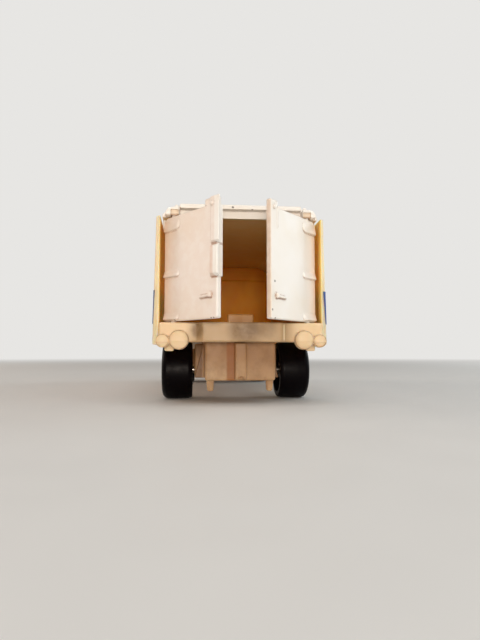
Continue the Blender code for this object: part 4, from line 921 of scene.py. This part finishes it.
CAP_MESH = cap_mesh()
for place in ("rear", "front"):
    hub = Vector(JOINTS[f"{place}_axle_spin"]["pos_m"])
    for hand, side in (("left", LEFT), ("right", RIGHT)):
        spot = hub + Vector((side * WHEEL_MIDDLE, 0.0, 0.0))
        wheel = finish_turned(f"tyre_{place}_{hand}", wheel_form(), spot, side == LEFT)
        stand_for(wheel, f"wheel_{place}_{hand}")
        form = bmesh.new()
        form.from_mesh(CAP_MESH)
        cap = finish_turned(f"cap_{place}_{hand}", form, spot, side == LEFT)
        stand_for(cap, f"hub_cap_{place}_{hand}")
    low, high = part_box(f"axle_{place}")
    tip, radius = high.x, (high.z - low.z) / 2
    profile = [(0.0, -tip), (radius, -tip), (radius, tip), (0.0, tip)]
    axle = finish_turned(f"pin_{place}", lathe(eased(profile, 0.3 * MM, closed=False), 48), hub)
    stand_for(axle, f"axle_{place}")


# Rivets

RIVET_RADIUS = 1.1 * MM
RIVET_HEAD = 0.5 * MM


def rivet_form(foot, top, head):
    """An upright rivet between two heights, with a low domed head of a given radius at its foot."""
    under = foot + RIVET_HEAD
    profile = [(0.0, top), (0.8 * RIVET_RADIUS, top), (RIVET_RADIUS, top - 0.2 * RIVET_RADIUS)]
    profile += [(RIVET_RADIUS, under), (head, under), (0.96 * head, under - 0.15 * MM)]
    profile += [(0.8 * head, foot + 0.12 * MM), (0.5 * head, foot), (0.0, foot)]
    form = lathe(eased(profile, 0.12 * MM, closed=False), 48)
    form.transform(Matrix.Rotation(math.radians(-90), 4, "Y"))
    return form


for place in ("rear", "front"):
    low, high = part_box(f"rivet_{place}")
    form = rivet_form(low.z, high.z, (high.x - low.x) / 2)
    spot = Vector(((low.x + high.x) / 2, (low.y + high.y) / 2, 0.0))
    stand_for(finish_turned(f"rivet_set_{place}", form, spot), f"rivet_{place}")


# Steering wheel

STEERING_CENTRE = Vector((-8.5 * MM, 55.3 * MM, 29.2 * MM))
STEERING_TILT = 35.0
STEERING_RADIUS = 2.9 * MM
STEERING_RIM = 0.45 * MM
COLUMN_LENGTH = 2.4 * MM
COLUMN_RADIUS = 0.5 * MM
SPOKES = (0, 120, 240)
SPOKE_RADIUS = 0.3 * MM
SPOKE_RISE = 0.3 * MM
ROUND_SIDES = 16


def rod(form, start, end, radius):
    along = end - start
    place = Matrix.Translation((start + end) / 2) @ along.to_track_quat("Z", "Y").to_matrix().to_4x4()
    bmesh.ops.create_cone(
        form, cap_ends=True, segments=ROUND_SIDES, radius1=radius, radius2=radius,
        depth=along.length, matrix=place,
    )


def steering_form():
    """A steering wheel with three spokes and a short column, tilted at its place in the cab."""
    ring = []
    for step in range(ROUND_SIDES):
        angle = 2 * math.pi * step / ROUND_SIDES
        ring.append((STEERING_RADIUS + STEERING_RIM * math.cos(angle), STEERING_RIM * math.sin(angle)))
    form = lathe(ring, 64)
    rod(form, Vector(), Vector((COLUMN_LENGTH, 0.0, 0.0)), COLUMN_RADIUS)
    for spoke in SPOKES:
        angle = math.radians(spoke)
        end = Vector((0.0, math.sin(angle), math.cos(angle))) * STEERING_RADIUS
        rod(form, Vector((SPOKE_RISE, 0.0, 0.0)), end, SPOKE_RADIUS)
    tilt = math.radians(STEERING_TILT)
    along = Vector((0.0, math.cos(tilt), -math.sin(tilt)))
    turn = along.to_track_quat("X", "Z").to_matrix().to_4x4()
    form.transform(Matrix.Translation(STEERING_CENTRE) @ turn)
    return form


wheel = softened("steering_moulding", steering_form(), 0.07 * MM, 4, 12000)
stand_for(wheel, "steering_wheel")


# Floor, light and camera

PALE = (0.80, 0.79, 0.77, 1.0)
PAPER = ((0.79, 0.78, 0.76, 1.0), (0.81, 0.80, 0.78, 1.0))
FLOOR_RADIUS = 3.0
FLOOR_FADE = (0.25, 0.9)
SKY = (1.0, 0.95, 0.90, 1.0)
SKY_STRENGTH = 0.27

# Lamps: place, size, power in watts and colour; all of them aim at the same place
AIM = (0.0, -0.02, 0.03)
LAMPS = {
    "behind": ((-0.03, -0.62, 0.07), 0.16, 1.65, (1.0, 0.87, 0.75)),
    "key_right": ((0.40, -0.34, 0.34), 0.36, 0.55, (0.70, 0.9, 1.0)),
    "fill_left": ((-0.42, -0.30, 0.34), 0.40, 0.15, (1.0, 0.70, 0.55)),
    "side_right": ((0.56, 0.22, 0.20), 0.36, 1.0, (0.90, 0.97, 1.0)),
    "side_left": ((-0.56, 0.22, 0.20), 0.36, 1.1, (1.0, 0.86, 0.74)),
    "top": ((0.0, -0.28, 0.55), 0.50, 1.0, (1.0, 0.98, 0.95)),
}


def seen(look):
    """1 for rays that show the background: from the camera, mirrored or passed through glass."""
    path = look.add("ShaderNodeLightPath").outputs
    shown = look.calc("ADD", path["Is Camera Ray"], path["Is Glossy Ray"])
    return look.calc("ADD", shown, path["Is Transmission Ray"])


def floor_look():
    """Pale matt paper that fades into the background away from the truck."""
    look = Look("pale_floor")
    look.set(Base_Color=look.mix(look.noise(30 * MM, 3.0), *PAPER))
    look.set(Roughness=look.ramp(look.noise(10 * MM), 0.3, 0.7, 0.55, 0.65))
    distance = look.add("ShaderNodeVectorMath", {0: look.place}, operation="LENGTH").outputs["Value"]
    far = look.times(look.ramp(distance, *FLOOR_FADE), seen(look))
    glow = look.add("ShaderNodeEmission", {"Color": PALE, "Strength": 1.0})
    blend = look.add("ShaderNodeMixShader", {0: far, 1: look.shader.outputs[0], 2: glow.outputs[0]})
    output = look.tree.nodes["Material Output"]
    look.tree.links.new(blend.outputs[0], output.inputs["Surface"])
    return look.material


def lay_floor():
    form = bmesh.new()
    bmesh.ops.create_circle(form, cap_ends=True, segments=96, radius=FLOOR_RADIUS)
    floor = show("floor", mesh_of("floor", form))
    floor.data.materials.append(floor_look())


def hang_lamp(name, place, size, power, colour):
    data = bpy.data.lights.new(name, "AREA")
    data.shape = "DISK"
    data.size = size
    data.energy = power
    data.color = colour
    item = bpy.data.objects.new(name, data)
    item.location = place
    item.rotation_euler = (Vector(AIM) - Vector(place)).to_track_quat("-Z", "Y").to_euler()
    bpy.context.scene.collection.objects.link(item)


def light_world():
    """A soft warm sky, with a plain pale backdrop where it is seen directly or through glass."""
    world = bpy.data.worlds.new("studio")
    bpy.context.scene.world = world
    world.use_nodes = True
    nodes, links = world.node_tree.nodes, world.node_tree.links
    path = nodes.new("ShaderNodeLightPath").outputs
    shown = nodes.new("ShaderNodeMath")
    shown.operation = "MAXIMUM"
    links.new(path["Is Camera Ray"], shown.inputs[0])
    links.new(path["Is Transmission Ray"], shown.inputs[1])
    sky, backdrop = nodes["Background"], nodes.new("ShaderNodeBackground")
    sky.inputs["Color"].default_value = SKY
    sky.inputs["Strength"].default_value = SKY_STRENGTH
    backdrop.inputs["Color"].default_value = PALE
    backdrop.inputs["Strength"].default_value = 1.0
    blend = nodes.new("ShaderNodeMixShader")
    links.new(shown.outputs[0], blend.inputs[0])
    links.new(sky.outputs[0], blend.inputs[1])
    links.new(backdrop.outputs[0], blend.inputs[2])
    links.new(blend.outputs[0], nodes["World Output"].inputs["Surface"])


def place_camera():
    data = bpy.data.cameras.new("camera")
    data.sensor_width = SENSOR
    data.lens = FOCAL_PIXELS / IMAGE_HEIGHT * SENSOR
    data.clip_start = 1 * MM
    camera = bpy.data.objects.new("camera", data)
    camera.location = CAMERA_PLACE
    camera.rotation_euler = (math.radians(90 + CAMERA_PITCH), 0.0, math.radians(-CAMERA_YAW))
    bpy.context.scene.collection.objects.link(camera)
    bpy.context.scene.camera = camera


lay_floor()
for name, values in LAMPS.items():
    hang_lamp(name, *values)
light_world()
place_camera()
bpy.context.scene.view_settings.view_transform = "Standard"
